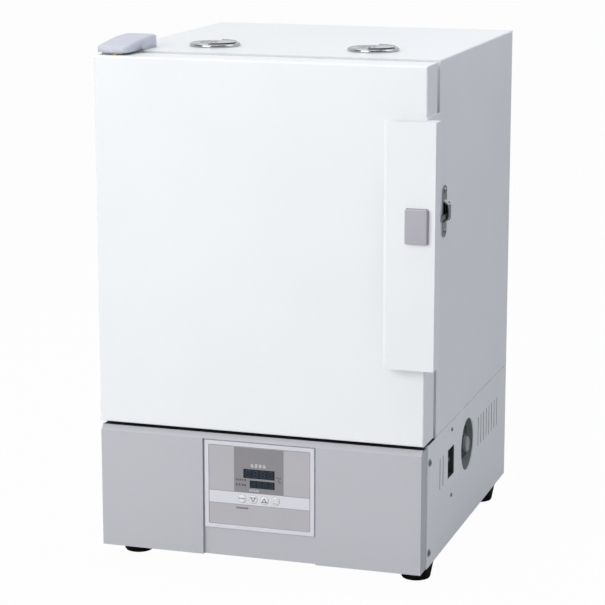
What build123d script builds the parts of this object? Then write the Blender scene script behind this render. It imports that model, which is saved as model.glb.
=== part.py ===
from build123d import *
from math import cos, radians, sin
import os

os.makedirs("parts", exist_ok=True)

# Natural convection drying oven, 27 litre class: a base with the controls, an insulated
# chamber above it and a door hinged on the left.
# All sizes are in millimetres. The origin is on the floor, under the middle of the whole
# outline, with +X to the right, -Y to the front and +Z up.

# Case and base
case_width = 400.0
case_depth = 440.0
base_height = 150.0
oven_height = 444.0
sheet = 1.5
flange_width = 12.0
seam = 0.3
case_edge_radius = 2.0
running_gap = 0.05

# Base front panel
panel_proud = 2.5
panel_wrap = 21.6
panel_tuck = 38.0
lip_size = 6.5
lip_edge = 1.5
recess_left = 69.5
recess_right = 71.0
recess_depth = 4.0

# Ventilation slots in the base
slot_width = 2.4
slot_height = 38.0
slot_level = 99.5
slot_pitch = 15.2
front_slot_depth = 88.8
rear_slot_inset = 106.2
front_slot_count = 2
rear_slot_count = 8
rear_panel_slot_count = 9

# Feet
foot_height = 24.0
foot_top_radius = 22.0
foot_bottom_radius = 17.0
foot_edge_radius = 4.0
foot_inset = 23.0
foot_front_depth = 61.0
foot_rear_inset = 50.0

# Control unit
unit_offset = 0.7
unit_level = 88.0
bezel_width = 136.5
bezel_height = 108.0
bezel_thickness = 2.5
window_width = 125.3
window_height = 96.7
window_thickness = 1.8
window_set_back = 0.4
window_corner = 2.5
window_gap = 0.2
unit_wall = 2.0
unit_depth = 46.0
unit_inset = 1.2
board_thickness = 1.6
board_set_back = 12.6
board_margin = 3.0
post_radius = 3.0
post_inset = 8.0
strip_height = 14.8
strip_level = 73.2
strip_thickness = 0.3
key_radius = 5.0
key_pitch = 13.9
key_offset = 0.4
key_proud = 1.2
key_play = 0.25
key_flange = 1.2
key_flange_radius = 6.3
key_stem_radius = 2.0
key_travel = 0.8
upper_display_width = 39.0
upper_display_height = 11.4
upper_display_offset = 0.5
upper_display_level = 104.3
lower_display_width = 31.0
lower_display_height = 9.3
lower_display_offset = 4.5
lower_display_level = 91.6

# Circuit breaker in the right side of the base
breaker_width = 30.7
breaker_height = 36.0
breaker_depth_pos = 135.4
breaker_level = 100.0
breaker_recess = 9.0
breaker_body_depth = 46.0
breaker_wall = 2.5
breaker_ear_length = 92.0
breaker_ear_thickness = 2.0
lever_width = 9.0
lever_radius = 4.0
lever_reach = 10.0
lever_thickness = 4.0
lever_tilt = 15.0
lever_play = 0.5

# Over-temperature thermostat in the right side of the base
dial_radius = 33.5
dial_depth_pos = 222.0
dial_level = 99.0
dial_cup_depth = 26.0
dial_cup_rim = 5.0
thermostat_width = 34.0
thermostat_height = 38.0
thermostat_set_back = 5.0
knob_radius = 10.0
knob_proud = 0.5
knob_gap = 0.3
knob_shaft_radius = 3.0
knob_shaft_length = 9.0
knob_groove = 1.6

# Screws
panel_screw_head = 4.4
panel_screw_rise = 2.0
panel_screw_radius = 2.4
panel_screw_length = 6.0
panel_screw_depth = 29.6
panel_screw_high = 128.0
panel_screw_low = 18.0
small_screw_head = 2.5
small_screw_rise = 1.4
small_screw_radius = 1.5
small_screw_length = 4.0
small_screw_spacing = 82.4
screw_play = 0.1

# Chamber
side_wall = 50.0
rear_wall = 80.0
top_wall = 59.0
chamber_level = 45.0
heater_space = 40.0
liner = 1.2
insulation_back = 40.0
floor_margin = 0.5
floor_slot_rows = 4
floor_slot_columns = 6
floor_slot_length = 34.0
floor_slot_width = 8.0
heater_radius = 3.5
heater_level = 18.0
heater_passes = 8
heater_pitch = 30.0
heater_front_gap = 45.0
heater_tail = 24.0

# Shelves and rails
rail_width = 12.0
rail_count = 4
rail_pitch = 60.0
rail_end_gap = 10.0
rail_post_width = 14.0
rail_post_inset = 45.0
shelf_side_gap = 6.0
shelf_back_gap = 14.0
shelf_front_gap = 24.0
shelf_frame_radius = 2.5
shelf_wire_radius = 1.25
shelf_wire_count = 11
shelf_seat = 0.3
shelf_corner = 10.0

# Sensors
sensor_radius = 2.0
sensor_length = 55.0
sensor_flange = 6.0
sensor_offset = 60.0
sensor_drop = 60.0
sensor_spacing = 20.0

# Exhaust vents on the top
vent_offset = 99.0
vent_depth = 136.0
tube_radius = 20.0
tube_wall = 1.5
vent_radius = 30.75
vent_rim = 4.0
vent_plate = 1.5
vent_opening_radius = 18.0
vent_web = 4.0
damper_radius = 27.0
damper_thickness = 1.2
damper_gap = 0.3
damper_hub = 6.0
damper_pivot = 2.5

# Door
door_thickness = 45.0
door_gap = 12.0
door_lift = 4.0
door_drop = 1.5
door_edge_radius = 2.0
door_return = 20.0
pan_margin = 10.0
pan_lap = 10.0
pan_reach = 11.0
gasket_gap = 2.0
gasket_width = 16.0
gasket_clearance = 0.3
insulation_gap = 1.0

# Hinges
hinge_inset = 19.0
hinge_depth = 25.0
pin_radius = 4.0
pin_engagement = 12.0
pin_head_radius = 7.0
pin_head = 2.0
bush_radius = 7.0
bush_length = 15.0
bush_flange = 0.7
hinge_plate = 3.0
hinge_plate_width = 30.0
hinge_plate_front = 13.0
upper_plate_back = 104.0
lower_plate_clearance = 0.5
cover_width = 40.5
cover_overhang = 2.0
cover_front = 10.5
cover_back = 110.0
cover_low = 8.5
cover_mid = 10.5
cover_high = 15.0
cover_step_start = 62.0
cover_step_end = 92.0
cover_wall = 2.0
cover_corner = 6.0
cover_lift = 0.4

# Handle, release button and latch
handle_reach = 15.5
handle_standoff = 20.0
handle_left = 159.0
handle_bottom = 249.0
handle_length = 283.5
handle_back = 4.0
handle_wall = 1.5
hem_run = 4.5
hem_depth = 6.0
bracket_margin = 2.5
bracket_front = -6.0
bracket_clearance = 0.5
button_width = 26.0
button_height = 40.0
button_right = 7.5
button_level = 415.5
button_proud = 6.0
button_back = 8.0
button_radius = 2.0
button_gap = 0.3
button_travel = 3.0
housing_wall = 1.5
housing_depth = 14.5
housing_margin = 3.0
pawl_thickness = 2.0
pawl_side_gap = 0.3
pawl_pivot_depth = -4.0
pawl_pivot_level = 447.0
pawl_pivot_radius = 2.0
pawl_hub = 5.0
pawl_arm = 8.0
pawl_nose_height = 8.0
pawl_nose_gap = 0.7
pawl_slot_rise = 12.0
pawl_tail_height = 6.0
pawl_tail_level = 412.5
pawl_reach = 82.0
keeper_front = 73.0
keeper_width = 18.0
keeper_low = 386.0
keeper_high = 447.0
keeper_thickness = 1.5
keeper_strap_front = 76.0
keeper_strap_width = 9.0
keeper_strap_inset = 17.0
keeper_strap_bevel = 5.0
keeper_stand = 8.0
keeper_screw_inset = 6.4
keeper_screw_radius = 2.0
keeper_screw_head = 3.6

# Cord gland in the lower rear panel
gland_reach = 14.0
gland_radius = 11.0
gland_thread_radius = 8.0
gland_bore = 4.0
gland_nut = 5.0
gland_inset = 50.0
gland_taper = 3.0
gland_step = 1.0
gland_level = 40.0

# Solid state relay on the base's floor
relay_width = 45.0
relay_length = 60.0
relay_height = 28.0
relay_depth_pos = 250.0

# Places that follow from the sizes
half = case_width / 2
x_mid = (max(cover_overhang, panel_screw_rise) - handle_reach) / 2
y_door = (handle_standoff + button_proud - case_depth - gland_reach) / 2
z_base = foot_height
z_deck = z_base + base_height
z_top = z_deck + oven_height
oven_front = door_thickness + door_gap
door_low = z_deck + door_lift
door_high = z_top - door_drop
liner_front = oven_front + 2 * sheet
chamber_width = case_width - 2 * side_wall
chamber_depth = case_depth - liner_front - rear_wall
chamber_height = oven_height - chamber_level - heater_space - top_wall
liner_back = liner_front + chamber_depth
liner_low = z_deck + chamber_level
floor_high = liner_low + heater_space
liner_high = floor_high + chamber_height
chamber_half = chamber_width / 2
pan_width = chamber_width + 2 * pan_lap
pan_height = liner_high - liner_low + 2 * pan_lap
rail_length = chamber_depth - 2 * rail_end_gap
shelf_length = chamber_depth - shelf_front_gap - shelf_back_gap
gland_offset = gland_inset - half
rear_slot_depth = case_depth - rear_slot_inset
foot_rear_depth = case_depth - foot_rear_inset
hinge_x = -half + hinge_inset


def px(offset):
    """X of a point that far right of the case's middle."""
    return x_mid + offset


def py(depth):
    """Y of a point that far behind the door's face."""
    return y_door + depth


def pz(level):
    """Z of a point that far above the base's underside."""
    return z_base + level


def facing(depth):
    """Upright plane across the oven, with its normal to the front."""
    return Plane.XZ.offset(-py(depth))


def beside(offset):
    """Upright plane along the oven, with its normal to the right."""
    return Plane.YZ.offset(px(offset))


def rect(u0, u1, v0, v1, corner=0.0, mode=Mode.ADD):
    """Rectangle between two pairs of coordinates, in the sketch that is being drawn."""
    with Locations(((u0 + u1) / 2, (v0 + v1) / 2)):
        if corner:
            RectangleRounded(u1 - u0, v1 - v0, corner, mode=mode)
        else:
            Rectangle(u1 - u0, v1 - v0, mode=mode)


# Base
slot_places = [front_slot_depth + slot_pitch * (i - (front_slot_count - 1) / 2) for i in range(front_slot_count)]
slot_places += [rear_slot_depth + slot_pitch * (i - (rear_slot_count - 1) / 2) for i in range(rear_slot_count)]
side_screw_places = [
    (py(panel_screw_depth), pz(panel_screw_high)),
    (py(panel_screw_depth), pz(panel_screw_low)),
]
bracket_screw_places = [
    (py(breaker_depth_pos + 2.3), pz(breaker_level - 1.2 + side * small_screw_spacing / 2))
    for side in (-1, 1)
]

with BuildPart() as base_shell:
    with BuildSketch(facing(panel_wrap + seam)):
        rect(px(-half), px(half), z_base, z_deck - seam)
        rect(px(sheet - half), px(half - sheet), z_base + sheet, z_deck, mode=Mode.SUBTRACT)
        rect(px(sheet - half), px(sheet - half + flange_width), z_deck - 2 * sheet, z_deck - sheet)
        rect(px(half - sheet - flange_width), px(half - sheet), z_deck - 2 * sheet, z_deck - sheet)
    extrude(amount=panel_wrap + seam - case_depth + sheet)
    with BuildSketch(beside(half)):
        with Locations(*[(py(place), pz(slot_level)) for place in slot_places]):
            Rectangle(slot_width, slot_height)
        with Locations(*side_screw_places):
            Circle(panel_screw_radius + screw_play)
    extrude(amount=-case_width, mode=Mode.SUBTRACT)
    with BuildSketch(beside(half)):
        with Locations((py(breaker_depth_pos), pz(breaker_level))):
            Rectangle(breaker_width, breaker_height)
        with Locations((py(dial_depth_pos), pz(dial_level))):
            Circle(dial_radius)
        with Locations(*bracket_screw_places):
            Circle(small_screw_radius + screw_play)
    extrude(amount=-2 * sheet, mode=Mode.SUBTRACT)

with BuildPart() as front_core:
    with BuildSketch(beside(2 * sheet - half)):
        with BuildLine():
            Polyline(
                (py(-panel_proud), z_base),
                (py(-panel_proud), z_deck - lip_size),
                (py(lip_size - panel_proud), z_deck),
                (py(panel_tuck), z_deck),
                (py(panel_tuck), z_base),
                close=True,
            )
        make_face()
        offset(amount=-sheet, kind=Kind.INTERSECTION)
        rect(py(panel_tuck - 2 * sheet), py(panel_tuck + sheet), z_base + sheet, z_deck - sheet)
    extrude(amount=case_width - 4 * sheet)
    with BuildSketch(facing(-panel_proud - sheet)):
        rect(px(-recess_left - sheet), px(recess_right + sheet), z_base - sheet, z_deck - lip_size + sheet)
    extrude(amount=-(recess_depth + 2 * sheet), mode=Mode.SUBTRACT)

unit_x = px(unit_offset)
unit_z = pz(unit_level)
recess_face = recess_depth - panel_proud
unit_face = recess_face - bezel_thickness
window_face = unit_face + window_set_back
window_back = window_face + window_thickness
strip_x = unit_x
strip_z = pz(strip_level)

with BuildPart() as base_front_panel:
    with BuildSketch(beside(sheet - half)):
        with BuildLine():
            Polyline(
                (py(-panel_proud), z_base),
                (py(-panel_proud), z_deck - lip_size),
                (py(lip_size - panel_proud), z_deck),
                (py(panel_tuck), z_deck),
                (py(panel_tuck), z_base),
                close=True,
            )
        make_face()
    extrude(amount=case_width - 2 * sheet)
    with BuildSketch(facing(-panel_proud)):
        rect(px(-recess_left), px(recess_right), z_base, z_deck - lip_size)
    extrude(amount=-recess_depth, mode=Mode.SUBTRACT)
    add(front_core.part, mode=Mode.SUBTRACT)
    with BuildSketch(facing(lip_size - panel_proud + lip_edge)):
        rect(px(sheet - half), px(half - sheet), z_deck - 2 * sheet, z_deck + sheet)
    extrude(amount=-panel_tuck, mode=Mode.SUBTRACT)
    with BuildSketch(facing(panel_wrap)):
        rect(px(-half), px(half), z_base - sheet, z_base + sheet)
    extrude(amount=-panel_tuck, mode=Mode.SUBTRACT)
    with BuildSketch(facing(-panel_proud)):
        with Locations((unit_x, unit_z)):
            Rectangle(window_width - unit_inset, window_height - unit_inset)
    extrude(amount=-recess_depth - 2 * sheet, mode=Mode.SUBTRACT)
    with BuildSketch(beside(half)):
        with Locations(*side_screw_places):
            Circle(panel_screw_radius + screw_play)
    extrude(amount=-case_width, mode=Mode.SUBTRACT)

deck_front = lip_size - panel_proud + lip_edge + seam
with BuildPart() as base_deck:
    with BuildSketch(Plane.XY.offset(z_deck - sheet)):
        rect(px(2 * sheet - half), px(half - 2 * sheet), py(deck_front), py(case_depth - sheet))
    extrude(amount=sheet)

with BuildPart() as rear_panel_lower:
    with BuildSketch(facing(case_depth)):
        rect(px(-half), px(half), z_base, z_deck - seam)
        with Locations((px(0), pz(slot_level))):
            with GridLocations(slot_pitch, 1, rear_panel_slot_count, 1):
                Rectangle(slot_width, slot_height, mode=Mode.SUBTRACT)
        with Locations((px(gland_offset), pz(gland_level))):
            Circle(gland_thread_radius + running_gap, mode=Mode.SUBTRACT)
    extrude(amount=sheet)

with BuildPart() as rubber_feet:
    foot_x = half - foot_inset
    for foot_place in (
        (px(-foot_x), py(foot_front_depth)),
        (px(foot_x), py(foot_front_depth)),
        (px(-foot_x), py(foot_rear_depth)),
        (px(foot_x), py(foot_rear_depth)),
    ):
        with Locations((foot_place[0], foot_place[1], foot_height / 2)):
            Cone(foot_bottom_radius, foot_top_radius, foot_height)
    fillet(
        rubber_feet.edges().filter_by(GeomType.CIRCLE).group_by(Axis.Z)[0],
        foot_edge_radius,
    )

# Control unit
with BuildPart() as control_bezel:
    with BuildSketch(facing(recess_face)):
        with Locations((unit_x, unit_z)):
            RectangleRounded(bezel_width, bezel_height, window_corner)
            RectangleRounded(window_width, window_height, window_corner, mode=Mode.SUBTRACT)
    extrude(amount=bezel_thickness)
    chamfer(control_bezel.faces().sort_by(Axis.Y)[0].outer_wire().edges(), window_set_back)

key_places = [(unit_x + key_offset - unit_offset + key_pitch * (i - 1.5), strip_z) for i in range(4)]
upper_display_place = (px(upper_display_offset), pz(upper_display_level))
lower_display_place = (px(lower_display_offset), pz(lower_display_level))

with BuildPart() as control_window:
    with BuildSketch(facing(window_back)):
        with Locations((unit_x, unit_z)):
            RectangleRounded(window_width - window_gap, window_height - window_gap, window_corner)
        with Locations(*key_places):
            Circle(key_radius + key_play, mode=Mode.SUBTRACT)
        with Locations(upper_display_place):
            Rectangle(upper_display_width, upper_display_height, mode=Mode.SUBTRACT)
        with Locations(lower_display_place):
            Rectangle(lower_display_width, lower_display_height, mode=Mode.SUBTRACT)
    extrude(amount=window_thickness)

with BuildPart() as key_strip:
    with BuildSketch(facing(window_face)):
        with Locations((strip_x, strip_z)):
            Rectangle(window_width - 2 * window_gap, strip_height)
        with Locations(*key_places):
            Circle(key_radius + key_play, mode=Mode.SUBTRACT)
    extrude(amount=strip_thickness)

board_face = unit_face + board_set_back
board_back = board_face + board_thickness
unit_back = window_back + unit_depth

with BuildPart() as controller_case:
    with BuildSketch(facing(window_back)):
        with Locations((unit_x, unit_z)):
            Rectangle(window_width - 2 * unit_inset, window_height - 2 * unit_inset)
    extrude(amount=-unit_depth)
    with BuildSketch(facing(window_back)):
        with Locations((unit_x, unit_z)):
            Rectangle(
                window_width - 2 * unit_inset - 2 * unit_wall,
                window_height - 2 * unit_inset - 2 * unit_wall,
            )
    extrude(amount=unit_wall - unit_depth, mode=Mode.SUBTRACT)
    with BuildSketch(facing(unit_back - unit_wall)):
        with Locations((unit_x, unit_z)):
            with GridLocations(
                window_width - 2 * unit_inset - 2 * unit_wall - 2 * post_inset,
                window_height - 2 * unit_inset - 2 * unit_wall - 2 * post_inset,
                2,
                2,
            ):
                Circle(post_radius)
    extrude(amount=unit_back - unit_wall - board_back)

with BuildPart() as control_board:
    with BuildSketch(facing(board_back)):
        with Locations((unit_x, unit_z)):
            Rectangle(
                window_width - 2 * (unit_inset + unit_wall + board_margin),
                window_height - 2 * (unit_inset + unit_wall + board_margin),
            )
    extrude(amount=board_thickness)

displays = {}
for display_name, display_place, display_width, display_height in (
    ("display_upper", upper_display_place, upper_display_width, upper_display_height),
    ("display_lower", lower_display_place, lower_display_width, lower_display_height),
):
    with BuildPart() as display:
        with BuildSketch(facing(board_face)):
            with Locations(display_place):
                Rectangle(display_width - window_gap, display_height - window_gap)
        extrude(amount=board_face - window_face - running_gap)
    displays[display_name] = display

keys = {}
for key_name, key_place in zip(("key_mode", "key_down", "key_up", "key_start"), key_places):
    with BuildPart() as key:
        with BuildSketch(facing(window_back + window_gap + key_flange)):
            with Locations(key_place):
                Circle(key_flange_radius)
        extrude(amount=key_flange)
        with BuildSketch(facing(window_back + window_gap)):
            with Locations(key_place):
                Circle(key_radius)
        extrude(amount=window_back + window_gap - window_face + strip_thickness + key_proud)
        chamfer(key.faces().sort_by(Axis.Y)[0].edges(), window_set_back)
        with BuildSketch(facing(board_face - key_travel - window_gap)):
            with Locations(key_place):
                Circle(key_stem_radius)
        extrude(amount=board_face - key_travel - window_gap - window_back - window_gap - key_flange / 2)
    keys[key_name] = key

# Circuit breaker with its recess
breaker_face = half - breaker_recess
breaker_back = breaker_face - breaker_body_depth
breaker_y = py(breaker_depth_pos)
breaker_z = pz(breaker_level)
lever_x = px(breaker_face - lever_radius + lever_play)
with BuildPart() as breaker_body:
    with BuildSketch(beside(breaker_back)):
        with Locations((breaker_y, breaker_z)):
            Rectangle(breaker_width + 2 * breaker_wall, breaker_height + 2 * breaker_wall)
    extrude(amount=half - sheet - breaker_back)
    with BuildSketch(beside(half - sheet)):
        with Locations((breaker_y, breaker_z)):
            RectangleRounded(breaker_width + 2 * breaker_wall, breaker_ear_length, breaker_wall)
    extrude(amount=-breaker_ear_thickness)
    with BuildSketch(beside(half - sheet)):
        with Locations((breaker_y, breaker_z)):
            Rectangle(breaker_width, breaker_height)
    extrude(amount=breaker_face - half + sheet, mode=Mode.SUBTRACT)
    with BuildSketch(beside(breaker_face)):
        with Locations((breaker_y, breaker_z)):
            Rectangle(lever_width + 2 * lever_play, 2 * (lever_radius + lever_play))
    extrude(amount=-2 * (lever_radius + lever_play), mode=Mode.SUBTRACT)
    with BuildSketch(beside(half - sheet)):
        with Locations(*bracket_screw_places):
            Circle(small_screw_radius + screw_play)
    extrude(amount=-2 * breaker_ear_thickness, mode=Mode.SUBTRACT)

with BuildPart() as breaker_lever:
    with BuildSketch(Plane.XZ.offset(-breaker_y - lever_width / 2)):
        with Locations((lever_x, breaker_z)):
            Circle(lever_radius)
        tip_x = lever_x + lever_reach * cos(radians(lever_tilt)) / 2
        tip_z = breaker_z + lever_reach * sin(radians(lever_tilt)) / 2
        with Locations((tip_x, tip_z)):
            Rectangle(lever_reach, lever_thickness, rotation=lever_tilt)
    extrude(amount=lever_width)

# Thermostat with its recess
dial_y = py(dial_depth_pos)
dial_z = pz(dial_level)
cup_floor = half - sheet - dial_cup_depth
with BuildPart() as dial_cup:
    with BuildSketch(beside(cup_floor - sheet)):
        with Locations((dial_y, dial_z)):
            Circle(dial_radius + sheet)
    extrude(amount=dial_cup_depth + sheet)
    with BuildSketch(beside(half - 2 * sheet)):
        with Locations((dial_y, dial_z)):
            Circle(dial_radius + dial_cup_rim)
    extrude(amount=sheet)
    with BuildSketch(beside(cup_floor)):
        with Locations((dial_y, dial_z)):
            Circle(dial_radius)
    extrude(amount=dial_cup_depth, mode=Mode.SUBTRACT)

thermostat_face = half - thermostat_set_back
with BuildPart() as thermostat_body:
    with BuildSketch(beside(cup_floor)):
        with Locations((dial_y, dial_z)):
            Rectangle(thermostat_width, thermostat_height)
    extrude(amount=thermostat_face - cup_floor)
    chamfer(thermostat_body.faces().sort_by(Axis.X)[-1].edges(), 1.0)
    with BuildSketch(beside(thermostat_face)):
        with Locations((dial_y, dial_z)):
            Circle(knob_shaft_radius + running_gap)
    extrude(amount=-knob_shaft_length - 1, mode=Mode.SUBTRACT)

with BuildPart() as thermostat_knob:
    with BuildSketch(beside(thermostat_face + knob_gap)):
        with Locations((dial_y, dial_z)):
            Circle(knob_radius)
    extrude(amount=thermostat_set_back - knob_gap + knob_proud)
    chamfer(thermostat_knob.faces().sort_by(Axis.X)[-1].edges(), 0.8)
    with BuildSketch(beside(half + knob_proud)):
        with Locations((dial_y, dial_z + knob_radius / 2)):
            Rectangle(knob_groove, knob_radius)
    extrude(amount=-knob_groove, mode=Mode.SUBTRACT)
    with BuildSketch(beside(thermostat_face + knob_gap)):
        with Locations((dial_y, dial_z)):
            Circle(knob_shaft_radius)
    extrude(amount=-knob_gap - knob_shaft_length)

# Screws in the sides of the base
with BuildPart() as side_panel_screws:
    for side in (-1, 1):
        with BuildSketch(beside(side * half)):
            with Locations(*side_screw_places):
                Circle(panel_screw_head)
        extrude(amount=side * panel_screw_rise)
        with BuildSketch(beside(side * half)):
            with Locations(*side_screw_places):
                Circle(panel_screw_radius)
        extrude(amount=-side * panel_screw_length)
    chamfer(side_panel_screws.faces().sort_by(Axis.X)[0:2].edges(), panel_screw_rise / 2)
    chamfer(side_panel_screws.faces().sort_by(Axis.X)[-2:].edges(), panel_screw_rise / 2)

with BuildPart() as bracket_screws:
    with BuildSketch(beside(half)):
        with Locations(*bracket_screw_places):
            Circle(small_screw_head)
    extrude(amount=small_screw_rise)
    chamfer(bracket_screws.faces().sort_by(Axis.X)[-2:].edges(), small_screw_rise / 2)
    with BuildSketch(beside(half)):
        with Locations(*bracket_screw_places):
            Circle(small_screw_radius)
    extrude(amount=-small_screw_length)

with BuildPart() as solid_state_relay:
    with BuildSketch(Plane.XY.offset(z_base + sheet)):
        with Locations((px(0), py(relay_depth_pos))):
            Rectangle(relay_width, relay_length)
    extrude(amount=relay_height)
    chamfer(solid_state_relay.faces().sort_by(Axis.Z)[-1].edges(), 2.0)

with BuildPart() as cable_gland:
    with BuildSketch(Plane.XY.offset(pz(gland_level))):
        with BuildLine():
            Polyline(
                (px(gland_offset + gland_bore), py(case_depth + gland_reach)),
                (px(gland_offset + gland_radius - gland_taper), py(case_depth + gland_reach)),
                (px(gland_offset + gland_radius - gland_step), py(case_depth + gland_reach - gland_taper)),
                (px(gland_offset + gland_radius - gland_step), py(case_depth + gland_nut)),
                (px(gland_offset + gland_radius), py(case_depth + gland_nut)),
                (px(gland_offset + gland_radius), py(case_depth)),
                (px(gland_offset + gland_thread_radius), py(case_depth)),
                (px(gland_offset + gland_thread_radius), py(case_depth - gland_reach)),
                (px(gland_offset + gland_bore), py(case_depth - gland_reach)),
                close=True,
            )
        make_face()
    revolve(axis=Axis((px(gland_offset), py(case_depth), pz(gland_level)), (0, 1, 0)))

# Oven case
vent_places = [(px(-vent_offset), py(vent_depth)), (px(vent_offset), py(vent_depth))]
keeper_screw_y = py(keeper_front + keeper_width / 2)
keeper_strap_low = keeper_low + keeper_strap_inset
keeper_strap_high = keeper_high - keeper_strap_inset
keeper_screw_places = [
    (keeper_screw_y, pz(keeper_low + keeper_screw_inset)),
    (keeper_screw_y, pz(keeper_high - keeper_screw_inset)),
]
with BuildPart() as case_shell:
    with BuildSketch(facing(oven_front)) as case_outline:
        rect(px(-half), px(half), z_deck, z_top)
        fillet(case_outline.vertices().group_by(Axis.Z)[-1], case_edge_radius)
    extrude(amount=oven_front - case_depth + sheet)
    with BuildSketch(facing(oven_front + sheet)):
        rect(px(sheet - half), px(half - sheet), z_deck + sheet, z_top - sheet)
    extrude(amount=-case_depth, mode=Mode.SUBTRACT)
    with BuildSketch(facing(oven_front)):
        rect(
            px(sheet + flange_width - half),
            px(half - sheet - flange_width),
            z_deck - sheet,
            z_top - sheet - flange_width,
        )
    extrude(amount=-case_depth, mode=Mode.SUBTRACT)
    with BuildSketch(Plane.XY.offset(z_top)):
        with Locations(*vent_places):
            Circle(tube_radius + running_gap)
    extrude(amount=-2 * sheet, mode=Mode.SUBTRACT)
    with BuildSketch(beside(half)):
        with Locations(*keeper_screw_places):
            Circle(keeper_screw_radius + screw_play)
    extrude(amount=-2 * sheet, mode=Mode.SUBTRACT)

with BuildPart() as rear_panel_upper:
    with BuildSketch(facing(case_depth)):
        rect(px(-half), px(half), z_deck, z_top)
    extrude(amount=sheet)

with BuildPart() as front_frame:
    with BuildSketch(facing(liner_front)):
        rect(px(sheet - half), px(half - sheet), z_deck + sheet, z_top - sheet)
        rect(px(-chamber_half), px(chamber_half), liner_low, liner_high, mode=Mode.SUBTRACT)
    extrude(amount=sheet)

# Chamber and what it holds
heater_z = liner_low + heater_level
heater_x = heater_pitch * (heater_passes - 1) / 2
sensor_z = liner_high - sensor_drop
sensor_places = [(px(sensor_offset - sensor_spacing / 2), sensor_z), (px(sensor_offset + sensor_spacing / 2), sensor_z)]
with BuildPart() as chamber_liner:
    with BuildSketch(facing(liner_front)):
        rect(px(-chamber_half - liner), px(chamber_half + liner), liner_low - liner, liner_high + liner)
    extrude(amount=-chamber_depth - liner)
    with BuildSketch(facing(liner_front)):
        rect(px(-chamber_half), px(chamber_half), liner_low, liner_high)
    extrude(amount=-chamber_depth, mode=Mode.SUBTRACT)
    with BuildSketch(Plane.XY.offset(liner_high)):
        with Locations(*vent_places):
            Circle(tube_radius + running_gap)
    extrude(amount=2 * liner, mode=Mode.SUBTRACT)
    with BuildSketch(facing(liner_back)):
        with Locations((px(-heater_x), heater_z), (px(heater_x), heater_z)):
            Circle(heater_radius + running_gap)
        with Locations(*sensor_places):
            Circle(sensor_radius + running_gap)
    extrude(amount=-2 * liner, mode=Mode.SUBTRACT)

with BuildPart() as insulation:
    with BuildSketch(facing(liner_front)):
        rect(px(sheet - half), px(half - sheet), z_deck + sheet, z_top - sheet)
    extrude(amount=-chamber_depth - insulation_back)
    with BuildSketch(facing(liner_front)):
        rect(px(-chamber_half - liner), px(chamber_half + liner), liner_low - liner, liner_high + liner)
    extrude(amount=-chamber_depth - liner, mode=Mode.SUBTRACT)
    with BuildSketch(Plane.XY.offset(liner_high)):
        with Locations(*vent_places):
            Circle(tube_radius + running_gap)
    extrude(amount=z_top, mode=Mode.SUBTRACT)
    with BuildSketch(facing(liner_back)):
        with Locations((px(-heater_x), heater_z), (px(heater_x), heater_z)):
            Circle(heater_radius + running_gap)
        with Locations(*sensor_places):
            Circle(sensor_radius + running_gap)
    extrude(amount=-2 * insulation_back, mode=Mode.SUBTRACT)

heater_points = []
heater_near = py(liner_front + heater_front_gap)
heater_far = py(liner_back - heater_front_gap)
for i in range(heater_passes):
    heater_turn = px(-heater_x + i * heater_pitch)
    first = heater_far if i % 2 == 0 else heater_near
    last = heater_near if i % 2 == 0 else heater_far
    heater_points += [(heater_turn, first, heater_z), (heater_turn, last, heater_z)]
heater_points[0] = (px(-heater_x), py(liner_back + heater_tail), heater_z)
heater_points[-1] = (px(heater_x), py(liner_back + heater_tail), heater_z)
with BuildPart() as heater_element:
    with BuildLine() as heater_path:
        FilletPolyline(*heater_points, radius=heater_pitch * 0.48)
    with BuildSketch(Plane(origin=heater_points[0], z_dir=(0, -1, 0))):
        Circle(heater_radius)
    sweep(path=heater_path.wire())

with BuildPart() as floor_plate:
    with BuildSketch(Plane.XY.offset(floor_high - liner)):
        rect(
            px(floor_margin - chamber_half),
            px(chamber_half - floor_margin),
            py(liner_front + floor_margin),
            py(liner_back - floor_margin),
        )
        with Locations((px(0), py((liner_front + liner_back) / 2))):
            with GridLocations(
                chamber_width / floor_slot_columns,
                chamber_depth / floor_slot_rows,
                floor_slot_columns,
                floor_slot_rows,
            ):
                SlotOverall(floor_slot_length, floor_slot_width, mode=Mode.SUBTRACT)
    extrude(amount=liner)
    with BuildSketch(Plane.XY.offset(liner_low)):
        for side in (-1, 1):
            wall_x = px(side * (chamber_half - floor_margin - liner / 2))
            with Locations((wall_x, py((liner_front + liner_back) / 2))):
                Rectangle(liner, chamber_depth - 2 * floor_margin)
    extrude(amount=heater_space - liner)

# Shelf rails and wire shelves
rail_levels = [floor_high + rail_pitch * (i + 1) - rail_pitch / 2 for i in range(rail_count)]
rails = {}
for rail_name, side in (("shelf_rail_left", -1), ("shelf_rail_right", 1)):
    with BuildPart() as rail_set:
        wall_x = px(side * chamber_half)
        rail_x = px(side * (chamber_half - rail_width / 2))
        rail_y = py((liner_front + liner_back) / 2)
        with BuildSketch(Plane.XY.offset(floor_high)):
            for post_y in (
                py(liner_front + rail_post_inset),
                py(liner_back - rail_post_inset),
            ):
                with Locations((px(side * (chamber_half - liner)), post_y)):
                    Rectangle(2 * liner, rail_post_width)
        extrude(amount=rail_levels[-1] - floor_high + rail_pitch / 2)
        for rail_level in rail_levels:
            with BuildSketch(Plane.XY.offset(rail_level - liner)):
                with Locations((rail_x, rail_y)):
                    Rectangle(rail_width, rail_length)
            extrude(amount=liner)
            with BuildSketch(Plane.XY.offset(rail_level - liner)):
                with Locations((px(side * (chamber_half - liner / 2)), rail_y)):
                    Rectangle(liner, rail_length)
            extrude(amount=rail_width)
    rails[rail_name] = rail_set

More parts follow.
